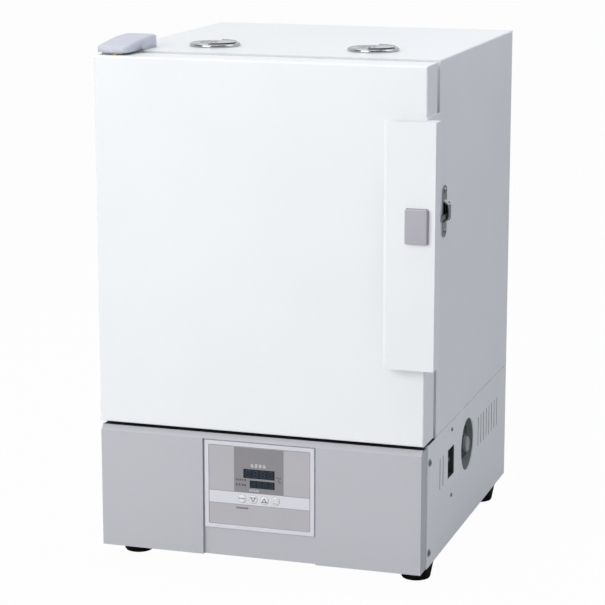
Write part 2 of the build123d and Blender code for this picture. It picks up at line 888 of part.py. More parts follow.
shelf_half = chamber_half - shelf_side_gap
shelf_front = liner_front + shelf_front_gap
shelf_back = shelf_front + shelf_length
shelves = {}
for shelf_name, shelf_rail in zip(("shelf_lower", "shelf_upper"), rail_levels[::2]):
    shelf_z = shelf_rail + shelf_seat + shelf_frame_radius
    with BuildPart() as shelf:
        with BuildLine() as shelf_path:
            FilletPolyline(
                (px(-shelf_half + shelf_frame_radius), py(shelf_front + shelf_frame_radius), shelf_z),
                (px(shelf_half - shelf_frame_radius), py(shelf_front + shelf_frame_radius), shelf_z),
                (px(shelf_half - shelf_frame_radius), py(shelf_back - shelf_frame_radius), shelf_z),
                (px(-shelf_half + shelf_frame_radius), py(shelf_back - shelf_frame_radius), shelf_z),
                radius=shelf_corner,
                close=True,
            )
        with BuildSketch(Plane(origin=(px(0), py(shelf_front + shelf_frame_radius), shelf_z), z_dir=(1, 0, 0))):
            Circle(shelf_frame_radius)
        sweep(path=shelf_path.wire())
        wire_pitch = 2 * shelf_half / (shelf_wire_count + 1)
        with BuildSketch(facing(shelf_back - shelf_frame_radius)):
            with Locations((px(0), shelf_z)):
                with GridLocations(wire_pitch, 1, shelf_wire_count, 1):
                    Circle(shelf_wire_radius)
        extrude(amount=shelf_length - 2 * shelf_frame_radius)
    shelves[shelf_name] = shelf

with BuildPart() as temperature_sensors:
    with BuildSketch(facing(liner_back + insulation_back / 2)):
        with Locations(*sensor_places):
            Circle(sensor_radius)
    extrude(amount=sensor_length + insulation_back / 2)
    with BuildSketch(facing(liner_back)):
        with Locations(*sensor_places):
            Circle(sensor_flange)
    extrude(amount=sheet)

# Exhaust
with BuildPart() as exhaust_tubes:
    with BuildSketch(Plane.XY.offset(liner_high)):
        with Locations(*vent_places):
            Circle(tube_radius)
            Circle(tube_radius - tube_wall, mode=Mode.SUBTRACT)
    extrude(amount=z_top - liner_high)

vent_caps = {}
vent_dampers = {}
for vent_name, vent_place in zip(("left", "right"), vent_places):
    with BuildPart() as vent_cap:
        with BuildSketch(Plane.XY.offset(z_top)):
            with Locations(vent_place):
                Circle(vent_radius)
        extrude(amount=vent_rim)
        chamfer(vent_cap.faces().sort_by(Axis.Z)[-1].edges(), 1.0)
        with BuildSketch(Plane.XY.offset(z_top)):
            with Locations(vent_place):
                Circle(vent_radius - vent_plate)
        extrude(amount=vent_rim - vent_plate, mode=Mode.SUBTRACT)
        with BuildSketch(Plane.XY.offset(z_top)):
            with Locations(vent_place):
                Circle(vent_opening_radius)
            rect(
                vent_place[0] - vent_radius,
                vent_place[0] + vent_web,
                vent_place[1] - vent_radius,
                vent_place[1] + vent_radius,
                mode=Mode.SUBTRACT,
            )
        extrude(amount=vent_rim + 1, mode=Mode.SUBTRACT)
        with BuildSketch(Plane.XY.offset(z_top)):
            with Locations(vent_place):
                Circle(damper_pivot + running_gap)
        extrude(amount=vent_rim + 1, mode=Mode.SUBTRACT)
    vent_caps["vent_cap_" + vent_name] = vent_cap
    with BuildPart() as vent_damper:
        with BuildSketch(Plane.XY.offset(z_top + vent_rim + damper_gap)):
            with Locations(vent_place):
                Circle(damper_radius)
            rect(
                vent_place[0] - damper_radius,
                vent_place[0],
                vent_place[1] - damper_radius,
                vent_place[1] + damper_radius,
                mode=Mode.SUBTRACT,
            )
            with Locations(vent_place):
                Circle(damper_hub)
        extrude(amount=damper_thickness)
        with BuildSketch(Plane.XY.offset(z_top + vent_rim - vent_plate - 1)):
            with Locations(vent_place):
                Circle(damper_pivot)
        extrude(amount=vent_plate + 1 + damper_gap + damper_thickness / 2)
    vent_dampers["vent_damper_" + vent_name] = vent_damper

# Hinges
pin_place = (px(hinge_x), py(hinge_depth))
plate_left = hinge_x - hinge_plate_width / 2
plate_right = hinge_x + hinge_plate_width / 2
with BuildPart() as hinge_plate_upper:
    with BuildSketch(Plane.XY.offset(z_top)):
        rect(px(plate_left), px(plate_right), py(hinge_plate_front), py(upper_plate_back), 4.0)
        with Locations(pin_place):
            Circle(pin_radius, mode=Mode.SUBTRACT)
    extrude(amount=hinge_plate)

with BuildPart() as hinge_plate_lower:
    with BuildSketch(Plane.XY.offset(z_deck)):
        rect(px(plate_left), px(plate_right), py(hinge_plate_front), py(oven_front - lower_plate_clearance), 4.0)
        with Locations(pin_place):
            Circle(pin_radius, mode=Mode.SUBTRACT)
    extrude(amount=hinge_plate)

with BuildPart() as hinge_pins:
    with BuildSketch(Plane.XY.offset(door_high - pin_engagement)):
        with Locations(pin_place):
            Circle(pin_radius)
    extrude(amount=pin_engagement + door_drop + hinge_plate)
    with BuildSketch(Plane.XY.offset(z_top + hinge_plate)):
        with Locations(pin_place):
            Circle(pin_head_radius)
    extrude(amount=pin_head)
    with BuildSketch(Plane.XY.offset(z_deck)):
        with Locations(pin_place):
            Circle(pin_radius)
    extrude(amount=door_lift + pin_engagement)

cover_floor = z_top + cover_lift
with BuildPart() as cover_core:
    with BuildSketch(beside(-half - cover_overhang + cover_wall)):
        with BuildLine():
            cover_line = Spline(
                (py(cover_front + cover_wall), z_top + cover_low - cover_wall),
                (py(cover_step_start - cover_wall / 2), z_top + cover_mid - cover_wall),
                (py(cover_step_end - cover_wall / 2), z_top + cover_high - cover_wall),
                tangents=((1, 0.03), (1, 0)),
            )
            Polyline(
                cover_line @ 1,
                (py(cover_back - cover_wall), z_top + cover_high - cover_wall),
                (py(cover_back - cover_wall), z_top - cover_wall),
                (py(cover_front + cover_wall), z_top - cover_wall),
                cover_line @ 0,
            )
        make_face()
    extrude(amount=cover_width - 2 * cover_wall)

with BuildPart() as hinge_cover:
    with BuildSketch(beside(-half - cover_overhang)):
        with BuildLine():
            cover_top = Spline(
                (py(cover_front), z_top + cover_low),
                (py(cover_step_start), z_top + cover_mid),
                (py(cover_step_end), z_top + cover_high),
                tangents=((1, 0.03), (1, 0)),
            )
            Polyline(
                cover_top @ 1,
                (py(cover_back), z_top + cover_high),
                (py(cover_back), z_top),
                (py(oven_front), z_top),
                (py(oven_front), cover_floor),
                (py(cover_front), cover_floor),
                cover_top @ 0,
            )
        make_face()
    extrude(amount=cover_width)
    fillet(
        [
            edge
            for edge in hinge_cover.edges().filter_by(Axis.Z)
            if edge.length > cover_low / 2
        ],
        cover_corner,
    )
    add(cover_core.part, mode=Mode.SUBTRACT)

# Door
with BuildPart() as door_skin:
    with BuildSketch(Plane.XY.offset(door_low)):
        rect(px(-half), px(half), y_door, py(door_thickness))
    extrude(amount=door_high - door_low)
    fillet(door_skin.faces().sort_by(Axis.Y)[0].edges(), door_edge_radius)
    with BuildSketch(facing(sheet)):
        rect(px(sheet - half), px(half - sheet), door_low + sheet, door_high - sheet)
    extrude(amount=2 * sheet - door_thickness, mode=Mode.SUBTRACT)
    with BuildSketch(facing(sheet)):
        rect(
            px(door_return - half),
            px(half - door_return),
            door_low + door_return,
            door_high - door_return,
        )
    extrude(amount=-door_thickness, mode=Mode.SUBTRACT)
    with BuildSketch(Plane.XY.offset(door_low)):
        with Locations(pin_place):
            Circle(bush_radius)
    extrude(amount=door_high - door_low, mode=Mode.SUBTRACT)

with BuildPart() as door_bushes:
    with BuildSketch(Plane.XY.offset(door_low - bush_flange)):
        with Locations(pin_place):
            Circle(bush_radius)
            Circle(pin_radius + running_gap, mode=Mode.SUBTRACT)
    extrude(amount=bush_length + bush_flange)
    with BuildSketch(Plane.XY.offset(door_high - bush_length)):
        with Locations(pin_place):
            Circle(bush_radius)
            Circle(pin_radius + running_gap, mode=Mode.SUBTRACT)
    extrude(amount=bush_length + bush_flange)

door_mid = (liner_low + liner_high) / 2
pan_low = door_mid - pan_height / 2
pan_high = door_mid + pan_height / 2
pan_half = pan_width / 2
with BuildPart() as door_inner_pan:
    with BuildSketch(facing(door_thickness)):
        rect(
            px(pan_margin - half),
            px(half - pan_margin),
            door_low + pan_margin,
            door_high - pan_margin,
        )
    extrude(amount=-liner)
    with BuildSketch(facing(door_thickness)):
        rect(px(-pan_half), px(pan_half), pan_low, pan_high)
    extrude(amount=-pan_reach)
    fillet(door_inner_pan.faces().sort_by(Axis.Y)[-1].edges(), 3.0)
    with BuildSketch(facing(door_thickness)):
        rect(px(liner - pan_half), px(pan_half - liner), pan_low + liner, pan_high - liner)
    extrude(amount=liner - pan_reach, mode=Mode.SUBTRACT)

with BuildPart() as door_insulation:
    with BuildSketch(facing(sheet + insulation_gap)):
        rect(
            px(sheet + insulation_gap - half),
            px(half - sheet - insulation_gap),
            door_low + sheet + insulation_gap,
            door_high - sheet - insulation_gap,
        )
    extrude(amount=2 * sheet + 2 * insulation_gap - door_thickness)
    with BuildSketch(facing(sheet + insulation_gap)):
        rect(
            px(liner + insulation_gap - pan_half),
            px(pan_half - liner - insulation_gap),
            pan_low + liner + insulation_gap,
            pan_high - liner - insulation_gap,
        )
    extrude(amount=-(door_thickness + pan_reach - liner - sheet - 2 * insulation_gap))
    with BuildSketch(Plane.XY.offset(door_low)):
        with Locations(pin_place):
            Circle(bush_radius + insulation_gap)
    extrude(amount=bush_length + insulation_gap, mode=Mode.SUBTRACT)
    with BuildSketch(Plane.XY.offset(door_high)):
        with Locations(pin_place):
            Circle(bush_radius + insulation_gap)
    extrude(amount=-bush_length - insulation_gap, mode=Mode.SUBTRACT)

gasket_inner = pan_half + gasket_gap
gasket_outer = gasket_inner + gasket_width
with BuildPart() as door_gasket:
    with BuildSketch(facing(door_thickness + liner)):
        rect(
            px(-gasket_outer),
            px(gasket_outer),
            pan_low - gasket_gap - gasket_width,
            pan_high + gasket_gap + gasket_width,
            gasket_width / 2,
        )
        rect(
            px(-gasket_inner),
            px(gasket_inner),
            pan_low - gasket_gap,
            pan_high + gasket_gap,
            mode=Mode.SUBTRACT,
        )
    extrude(amount=-(oven_front + sheet - gasket_clearance - door_thickness - liner))
    chamfer(door_gasket.faces().sort_by(Axis.Y)[-1].outer_wire().edges(), 3.0)

# Handle
handle_low = pz(handle_bottom)
handle_high = handle_low + handle_length
handle_front = -handle_standoff
box_left = half + sheet
box_right = half + handle_reach
button_x0 = px(half + button_right - button_width)
button_x1 = px(half + button_right)
button_z0 = pz(button_level) - button_height / 2
button_z1 = pz(button_level) + button_height / 2
pawl_x0 = box_left + handle_wall + pawl_side_gap
pawl_x1 = pawl_x0 + pawl_thickness

with BuildPart() as handle_bracket:
    with BuildSketch(beside(half)):
        rect(py(bracket_front), py(oven_front - bracket_clearance), handle_low - bracket_margin, handle_high + bracket_margin)
    extrude(amount=sheet)

with BuildPart() as handle_shell:
    with BuildSketch(Plane.XY.offset(handle_low)):
        with BuildLine():
            Polyline(
                (px(handle_left), py(handle_front)),
                (px(box_right), py(handle_front)),
                (px(box_right), py(handle_back)),
                (px(box_left), py(handle_back)),
                (px(box_left), py(handle_front + handle_wall)),
                (px(handle_left + handle_wall / 2), py(handle_front + handle_wall)),
                (px(handle_left - hem_run + handle_wall), py(handle_front + hem_depth + handle_wall / 2)),
                (px(handle_left - hem_run), py(handle_front + hem_depth)),
                close=True,
            )
        make_face()
    extrude(amount=handle_length)
    with BuildSketch(Plane.XY.offset(handle_low + handle_wall)):
        rect(
            px(box_left + handle_wall),
            px(box_right - handle_wall),
            py(handle_front + handle_wall),
            py(handle_back - handle_wall),
        )
    extrude(amount=handle_length - 2 * handle_wall, mode=Mode.SUBTRACT)
    with BuildSketch(facing(handle_front)):
        rect(
            button_x0 - button_gap,
            button_x1 + button_gap,
            button_z0 - button_gap,
            button_z1 + button_gap,
            button_radius,
        )
    extrude(amount=-(handle_wall + button_back + button_travel + button_gap), mode=Mode.SUBTRACT)
    with BuildSketch(facing(handle_back)):
        rect(
            px(pawl_x0 - pawl_side_gap),
            px(pawl_x1 + pawl_side_gap),
            pz(pawl_tail_level) - pawl_tail_height,
            pz(pawl_tail_level) + pawl_slot_rise,
        )
    extrude(amount=2 * handle_wall, mode=Mode.SUBTRACT)

housing_back = handle_front + handle_wall + housing_depth
with BuildPart() as button_housing:
    with BuildSketch(facing(handle_front + handle_wall)):
        rect(
            button_x0 - housing_margin,
            px(half),
            button_z0 - housing_margin,
            button_z1 + housing_margin,
        )
    extrude(amount=-housing_depth)
    with BuildSketch(facing(handle_front + handle_wall)):
        rect(
            button_x0 - housing_margin + housing_wall,
            px(half + housing_wall),
            button_z0 - housing_margin + housing_wall,
            button_z1 + housing_margin - housing_wall,
        )
    extrude(amount=housing_wall - housing_depth, mode=Mode.SUBTRACT)

with BuildPart() as release_button:
    with BuildSketch(facing(handle_front + button_back)):
        rect(button_x0, button_x1, button_z0, button_z1, button_radius)
    extrude(amount=button_back + button_proud)
    fillet(release_button.faces().sort_by(Axis.Y)[0].edges(), button_radius * 0.7)

pivot_y = py(pawl_pivot_depth)
pivot_z = pz(pawl_pivot_level)
nose_front = handle_front + button_back + pawl_nose_gap
tail_z = pz(pawl_tail_level)
with BuildPart() as latch_pawl:
    with BuildSketch(beside(pawl_x0)):
        with Locations((pivot_y, pivot_z)):
            Circle(pawl_hub)
        rect(
            pivot_y - pawl_arm / 2,
            pivot_y + pawl_arm / 2,
            tail_z - pawl_tail_height / 2,
            pivot_z,
        )
        rect(
            py(nose_front),
            pivot_y,
            pz(button_level) - pawl_nose_height / 2,
            pz(button_level) + pawl_nose_height / 2,
        )
        rect(
            pivot_y,
            py(pawl_reach),
            tail_z - pawl_tail_height / 2,
            tail_z + pawl_tail_height / 2,
        )
        with Locations((pivot_y, pivot_z)):
            Circle(pawl_pivot_radius + running_gap, mode=Mode.SUBTRACT)
    extrude(amount=pawl_thickness)

with BuildPart() as pawl_pin:
    with BuildSketch(beside(box_left + handle_wall)):
        with Locations((pivot_y, pivot_z)):
            Circle(pawl_pivot_radius)
    extrude(amount=box_right - box_left - 2 * handle_wall)

# Keeper on the right side of the case
with BuildPart() as keeper:
    with BuildSketch(beside(half)):
        rect(
            py(keeper_front),
            py(keeper_front + keeper_width),
            pz(keeper_low),
            pz(keeper_high),
            keeper_width * 0.45,
        )
        with Locations(*keeper_screw_places):
            Circle(keeper_screw_radius + screw_play, mode=Mode.SUBTRACT)
    extrude(amount=keeper_thickness)
    with BuildSketch(facing(keeper_strap_front)):
        strap_out = half + keeper_stand
        strap_in = half + keeper_thickness
        with BuildLine():
            Polyline(
                (px(half), pz(keeper_strap_low)),
                (px(strap_in), pz(keeper_strap_low)),
                (px(strap_out), pz(keeper_strap_low + keeper_strap_bevel)),
                (px(strap_out), pz(keeper_strap_high - keeper_strap_bevel)),
                (px(strap_in), pz(keeper_strap_high)),
                (px(half), pz(keeper_strap_high)),
                close=True,
            )
        make_face()
        with BuildLine():
            Polyline(
                (px(strap_in), pz(keeper_strap_low + keeper_thickness * 1.3)),
                (px(strap_out - keeper_thickness), pz(keeper_strap_low + keeper_strap_bevel + keeper_thickness * 0.5)),
                (px(strap_out - keeper_thickness), pz(keeper_strap_high - keeper_strap_bevel - keeper_thickness * 0.5)),
                (px(strap_in), pz(keeper_strap_high - keeper_thickness * 1.3)),
                close=True,
            )
        make_face(mode=Mode.SUBTRACT)
    extrude(amount=-keeper_strap_width)

with BuildPart() as keeper_screws:
    with BuildSketch(beside(half + keeper_thickness)):
        with Locations(*keeper_screw_places):
            Circle(keeper_screw_head)
    extrude(amount=keeper_thickness * 0.8)
    chamfer(keeper_screws.faces().sort_by(Axis.X)[-2:].edges(), keeper_thickness * 0.4)
    with BuildSketch(beside(half + keeper_thickness)):
        with Locations(*keeper_screw_places):
            Circle(keeper_screw_radius)
    extrude(amount=-keeper_thickness - sheet)

# Every piece with its name
pieces = {
    "base_shell": base_shell,
    "base_front_panel": base_front_panel,
    "base_deck": base_deck,
    "rear_panel_lower": rear_panel_lower,
    "rubber_feet": rubber_feet,
    "control_bezel": control_bezel,
    "control_window": control_window,
    "key_strip": key_strip,
    "controller_case": controller_case,
    "control_board": control_board,
    "breaker_body": breaker_body,
    "breaker_lever": breaker_lever,
    "dial_cup": dial_cup,
    "thermostat_body": thermostat_body,
    "thermostat_knob": thermostat_knob,
    "side_panel_screws": side_panel_screws,
    "bracket_screws": bracket_screws,
    "solid_state_relay": solid_state_relay,
    "cable_gland": cable_gland,
    "case_shell": case_shell,
    "rear_panel_upper": rear_panel_upper,
    "front_frame": front_frame,
    "chamber_liner": chamber_liner,
    "insulation": insulation,
    "heater_element": heater_element,
    "floor_plate": floor_plate,
    "temperature_sensors": temperature_sensors,
    "exhaust_tubes": exhaust_tubes,
    "hinge_plate_upper": hinge_plate_upper,
    "hinge_plate_lower": hinge_plate_lower,
    "hinge_pins": hinge_pins,
    "hinge_cover": hinge_cover,
    "door_skin": door_skin,
    "door_bushes": door_bushes,
    "door_inner_pan": door_inner_pan,
    "door_insulation": door_insulation,
    "door_gasket": door_gasket,
    "handle_bracket": handle_bracket,
    "handle_shell": handle_shell,
    "button_housing": button_housing,
    "release_button": release_button,
    "latch_pawl": latch_pawl,
    "pawl_pin": pawl_pin,
    "keeper": keeper,
    "keeper_screws": keeper_screws,
}
for group in (displays, keys, rails, shelves, vent_caps, vent_dampers):
    pieces.update(group)

for name, piece in pieces.items():
    piece.part.label = name
    export_step(piece.part, f"parts/{name}.step")
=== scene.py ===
from functools import partial
from math import cos, pi, radians, sin

import bmesh
import bpy
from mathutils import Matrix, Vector


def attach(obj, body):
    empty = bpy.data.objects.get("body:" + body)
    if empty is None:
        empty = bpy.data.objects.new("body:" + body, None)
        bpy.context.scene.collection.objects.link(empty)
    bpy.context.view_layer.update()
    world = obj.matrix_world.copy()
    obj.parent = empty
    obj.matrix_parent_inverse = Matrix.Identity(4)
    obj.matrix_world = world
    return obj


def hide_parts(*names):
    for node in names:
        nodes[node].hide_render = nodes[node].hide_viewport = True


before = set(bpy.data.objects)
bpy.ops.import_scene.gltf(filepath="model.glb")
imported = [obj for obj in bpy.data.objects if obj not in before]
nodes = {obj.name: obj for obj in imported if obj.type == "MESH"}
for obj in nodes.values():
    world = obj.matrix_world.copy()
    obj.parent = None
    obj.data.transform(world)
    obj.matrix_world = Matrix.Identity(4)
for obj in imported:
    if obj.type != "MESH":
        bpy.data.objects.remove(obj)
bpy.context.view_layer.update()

# Measures of the oven in millimetres: across from the middle of the case, back from
# the door's face, up from the underside of the base
MM = 0.001
MIDDLE_X = -6.75
DOOR_Y = -214.0
BASE_Z = 24.0
HALF_WIDTH = 200.0
CASE_DEPTH = 440.0
DECK_LEVEL = 150.0
TOP_LEVEL = 594.0
OVEN_FRONT = 57.0


def spot(across, back, up):
    """A place in millimetres of the part frame."""
    return Vector((MIDDLE_X + across, DOOR_Y + back, BASE_Z + up))


def tone(code):
    """A colour written as six hex digits, as linear red, green, blue and alpha."""
    parts = [int(code[i : i + 2], 16) / 255 for i in (0, 2, 4)]
    linear = [c / 12.92 if c < 0.04045 else ((c + 0.055) / 1.055) ** 2.4 for c in parts]
    return (*linear, 1.0)


# Shared surface effects
def new_group(name, inputs, outputs):
    group = bpy.data.node_groups.new(name, "ShaderNodeTree")
    for label, kind, value in inputs:
        socket = group.interface.new_socket(name=label, in_out="INPUT", socket_type=kind)
        socket.default_value = value
    for label, kind in outputs:
        group.interface.new_socket(name=label, in_out="OUTPUT", socket_type=kind)
    start = group.nodes.new("NodeGroupInput")
    end = group.nodes.new("NodeGroupOutput")
    return group, start, end


def node(tree, kind, **settings):
    made = tree.nodes.new(kind)
    for key, value in settings.items():
        setattr(made, key, value)
    return made


def feed(tree, socket, value):
    """Sets a number on a socket, or links another node's output to it."""
    if isinstance(value, (int, float)):
        socket.default_value = value
    else:
        tree.links.new(value, socket)


def noise(tree, vector, scale, detail):
    made = node(tree, "ShaderNodeTexNoise")
    tree.links.new(vector, made.inputs["Vector"])
    feed(tree, made.inputs["Scale"], scale)
    made.inputs["Detail"].default_value = detail
    return made.outputs["Fac"]


def ranged(tree, value, low, high, from_low, from_high):
    """The value, spread from its own low and high to the given ones."""
    made = node(tree, "ShaderNodeMapRange")
    tree.links.new(value, made.inputs["Value"])
    made.inputs["From Min"].default_value = from_low
    made.inputs["From Max"].default_value = from_high
    feed(tree, made.inputs["To Min"], low)
    feed(tree, made.inputs["To Max"], high)
    return made.outputs["Result"]


def shaded(tree, colour, amount):
    """The colour, lightened or darkened by amount around 1."""
    made = node(tree, "ShaderNodeVectorMath", operation="SCALE")
    tree.links.new(colour, made.inputs[0])
    tree.links.new(amount, made.inputs["Scale"])
    return made.outputs["Vector"]


def maths(tree, operation, first, second):
    made = node(tree, "ShaderNodeMath", operation=operation)
    feed(tree, made.inputs[0], first)
    feed(tree, made.inputs[1], second)
    return made.outputs["Value"]


def effect_group(name, inputs):
    """A group for a shader's colour, its roughness and the height of its bump."""
    outputs = [("Colour", "NodeSocketColor")]
    outputs += [("Roughness", "NodeSocketFloat"), ("Height", "NodeSocketFloat")]
    group, start, end = new_group(name, inputs, outputs)
    return group, start, end, node(group, "ShaderNodeTexCoord").outputs["Object"]


def put_out(group, start, end, contrast, pattern, spread, drift, height):
    """Varies the colour by the pattern, and the roughness by the drift."""
    low = maths(group, "SUBTRACT", 1.0, start.outputs[contrast])
    high = maths(group, "ADD", 1.0, start.outputs[contrast])
    amount = ranged(group, pattern, low, high, *spread)
    group.links.new(shaded(group, start.outputs["Colour"], amount), end.inputs["Colour"])
    group.links.new(maths(group, "ADD", start.outputs["Roughness"], drift), end.inputs["Roughness"])
    group.links.new(height, end.inputs["Height"])


def powder_coat_group():
    """Baked powder paint: orange peel, faint mottle and smears."""
    inputs = [
        ("Colour", "NodeSocketColor", (0.8, 0.8, 0.8, 1)),
        ("Mottle", "NodeSocketFloat", 0.02),
        ("Roughness", "NodeSocketFloat", 0.4),
        ("Peel Scale", "NodeSocketFloat", 700.0),
    ]
    group, start, end, place = effect_group("Powder coat", inputs)
    peel = noise(group, place, start.outputs["Peel Scale"], 1.5)
    smear = ranged(group, noise(group, place, 17.0, 4.0), -0.05, 0.06, 0.25, 0.75)
    put_out(group, start, end, "Mottle", noise(group, place, 5.0, 3.0), (0.3, 0.7), smear, peel)
    return group


def brushed_grain_group():
    """Sheet metal with a grain that the Grain vector stretches."""
    inputs = [
        ("Colour", "NodeSocketColor", (0.6, 0.6, 0.6, 1)),
        ("Grain", "NodeSocketVector", (20.0, 900.0, 900.0)),
        ("Contrast", "NodeSocketFloat", 0.12),
        ("Roughness", "NodeSocketFloat", 0.3),
    ]
    group, start, end, place = effect_group("Brushed grain", inputs)
    stretch = node(group, "ShaderNodeVectorMath", operation="MULTIPLY")
    group.links.new(place, stretch.inputs[0])
    group.links.new(start.outputs["Grain"], stretch.inputs[1])
    grain = noise(group, stretch.outputs["Vector"], 1.0, 3.0)
    cloud = ranged(group, noise(group, place, 9.0, 3.0), -0.06, 0.08, 0.3, 0.7)
    put_out(group, start, end, "Contrast", grain, (0.25, 0.75), cloud, grain)
    return group


def moulded_group():
    """Plastic, rubber, film or print with a fine stipple and worn patches."""
    inputs = [
        ("Colour", "NodeSocketColor", (0.5, 0.5, 0.5, 1)),
        ("Stipple Scale", "NodeSocketFloat", 1500.0),
        ("Contrast", "NodeSocketFloat", 0.03),
        ("Roughness", "NodeSocketFloat", 0.45),
    ]
    group, start, end, place = effect_group("Moulded stipple", inputs)
    stipple = noise(group, place, start.outputs["Stipple Scale"], 2.5)
    wear = ranged(group, noise(group, place, 60.0, 4.0), -0.06, 0.06, 0.3, 0.7)
    put_out(group, start, end, "Contrast", noise(group, place, 28.0, 3.0), (0.3, 0.7), wear, stipple)
    return group


def bare_inside_and_shade_group():
    """Keeps the coat on the outer faces of a sheet piece and darkens its inside with painted shade."""
    inputs = [
        ("Colour", "NodeSocketColor", (0.8, 0.8, 0.8, 1)),
        ("Inside Bare And Shade Colour", "NodeSocketColor", (0.1, 0.1, 0.1, 1)),
        ("Middle", "NodeSocketFloat", 0.0),
        ("Half Width", "NodeSocketFloat", 0.2),
        ("Front", "NodeSocketFloat", 0.0),
        ("Underside", "NodeSocketFloat", 0.0),
    ]
    group, start, end = new_group("Bare inside and painted shade", inputs, [("Colour", "NodeSocketColor")])
    place = node(group, "ShaderNodeSeparateXYZ")
    group.links.new(node(group, "ShaderNodeNewGeometry").outputs["Position"], place.inputs["Vector"])
    from_middle = maths(group, "SUBTRACT", place.outputs["X"], start.outputs["Middle"])
    across = node(group, "ShaderNodeMath", operation="ABSOLUTE")
    group.links.new(from_middle, across.inputs[0])
    within = maths(group, "LESS_THAN", across.outputs["Value"], start.outputs["Half Width"])
    above = maths(group, "GREATER_THAN", place.outputs["Z"], start.outputs["Underside"])
    behind = maths(group, "GREATER_THAN", place.outputs["Y"], start.outputs["Front"])
    deep = maths(group, "MULTIPLY", behind, above)
    blend = node(group, "ShaderNodeMix", data_type="RGBA")
    group.links.new(maths(group, "MULTIPLY", within, deep), blend.inputs["Factor"])
    group.links.new(start.outputs["Colour"], blend.inputs[6])
    group.links.new(start.outputs["Inside Bare And Shade Colour"], blend.inputs[7])
    group.links.new(blend.outputs[2], end.inputs["Colour"])
    return group


def with_inside_and_shade(material, inside, half_width, front, underside):
    """Paints shade on a coat behind the front, above the underside and within the half width."""
    tree = material.node_tree
    shader = tree.nodes["Principled BSDF"]
    coat = shader.inputs["Base Color"].links[0].from_socket
    masked = node(tree, "ShaderNodeGroup", node_tree=BARE_INSIDE_AND_SHADE)
    masked.inputs["Inside Bare And Shade Colour"].default_value = tone(inside)
    masked.inputs["Middle"].default_value = MIDDLE_X * MM
    masked.inputs["Half Width"].default_value = half_width * MM
    masked.inputs["Front"].default_value = (DOOR_Y + front) * MM
    masked.inputs["Underside"].default_value = (BASE_Z + underside) * MM
    tree.links.new(coat, masked.inputs["Colour"])
    tree.links.new(masked.outputs["Colour"], shader.inputs["Base Color"])


POWDER_COAT = powder_coat_group()
BRUSHED_GRAIN = brushed_grain_group()
MOULDED = moulded_group()
BARE_INSIDE_AND_SHADE = bare_inside_and_shade_group()


def finish_with(
    name, group, colour, roughness, bump, bump_distance, values, metallic=0.0, specular=0.5
):
    """A material whose colour, roughness and bump come from one of the shared effects."""
    material = bpy.data.materials.new(name)
    material.use_nodes = True
    tree = material.node_tree
    shader = tree.nodes["Principled BSDF"]
    effect = node(tree, "ShaderNodeGroup", node_tree=group)
    effect.inputs["Colour"].default_value = tone(colour)
    effect.inputs["Roughness"].default_value = roughness
    for label, value in values.items():
        effect.inputs[label].default_value = value
    tree.links.new(effect.outputs["Colour"], shader.inputs["Base Color"])
    tree.links.new(effect.outputs["Roughness"], shader.inputs["Roughness"])
    relief = node(tree, "ShaderNodeBump")
    relief.inputs["Strength"].default_value = bump
    relief.inputs["Distance"].default_value = bump_distance
    tree.links.new(effect.outputs["Height"], relief.inputs["Height"])
    tree.links.new(relief.outputs["Normal"], shader.inputs["Normal"])
    shader.inputs["Metallic"].default_value = metallic
    shader.inputs["Specular IOR Level"].default_value = specular
    return material


def coated(name, colour, roughness=0.38, peel=650.0):
    values = {"Mottle": 0.012, "Peel Scale": peel}
    return finish_with(name, POWDER_COAT, colour, roughness, 0.12, 0.0002, values)


def brushed(name, colour, grain=(20, 900, 900), contrast=0.1, roughness=0.28, bump=0.1):
    values = {"Grain": grain, "Contrast": contrast}
    return finish_with(name, BRUSHED_GRAIN, colour, roughness, bump, 0.0001, values, metallic=1.0)


def moulded(name, colour, roughness=0.45, stipple=1500.0, contrast=0.03, bump=0.15, specular=0.5):
    values = {"Stipple Scale": stipple, "Contrast": contrast}
    return finish_with(name, MOULDED, colour, roughness, bump, 0.0001, values, specular=specular)


case_coat = coated("Off-white case coat", "F1F3F3")
base_coat = coated("Off-white base coat", "F1F3F3")
# Inside of the base's sheet darkened: partly its bare steel, partly painted shade that makes its slots
# look dark
with_inside_and_shade(base_coat, "454A46", half_width=HALF_WIDTH - 0.12, front=26, underside=3.0)
door_coat = coated("White door coat", "F5F7F7", roughness=0.34)
panel_coat = coated("Light grey front coat", "C2C3C7", roughness=0.42, peel=800.0)
# Top of the base's front panel painted near black: painted shade for the gap under the door
panel_top = DECK_LEVEL - 0.35
with_inside_and_shade(panel_coat, "121413", half_width=HALF_WIDTH - 1.0, front=-3, underside=panel_top)
# The deck is painted near black as painted shade in the gap under the door
deck_painted_shade = coated("Near-black painted shade on the deck", "0E100F", roughness=0.7)
cup_coat = coated("Dark recess coat", "99A49D", roughness=0.6)
hinge_coat = coated("Black hinge coat", "141414", roughness=0.5)

stainless = brushed("Brushed stainless sheet", "C9C9C6")
stainless_upright = brushed("Upright brushed stainless", "C4C4C2", (900, 900, 20))
polished = brushed("Polished stainless cap", "B2B4B7", (300, 300, 300), 0.08, 0.13, bump=0.04)
chrome = brushed("Bright plated keeper", "9DA1A3", (400, 400, 400), 0.06, 0.16, bump=0.04)
zinc = brushed("Zinc plated steel", "85888A", (700, 700, 700), 0.1, 0.34)
heater_steel = brushed("Oxidised heater sheath", "5D5750", (300, 300, 300), 0.25, 0.5)
shelf_steel = brushed("Electropolished shelf wire", "C3C4C4", (500, 500, 500), 0.08, 0.22)
brass = brushed("Turned brass", "C29A4B", (600, 600, 600), 0.1, 0.3)

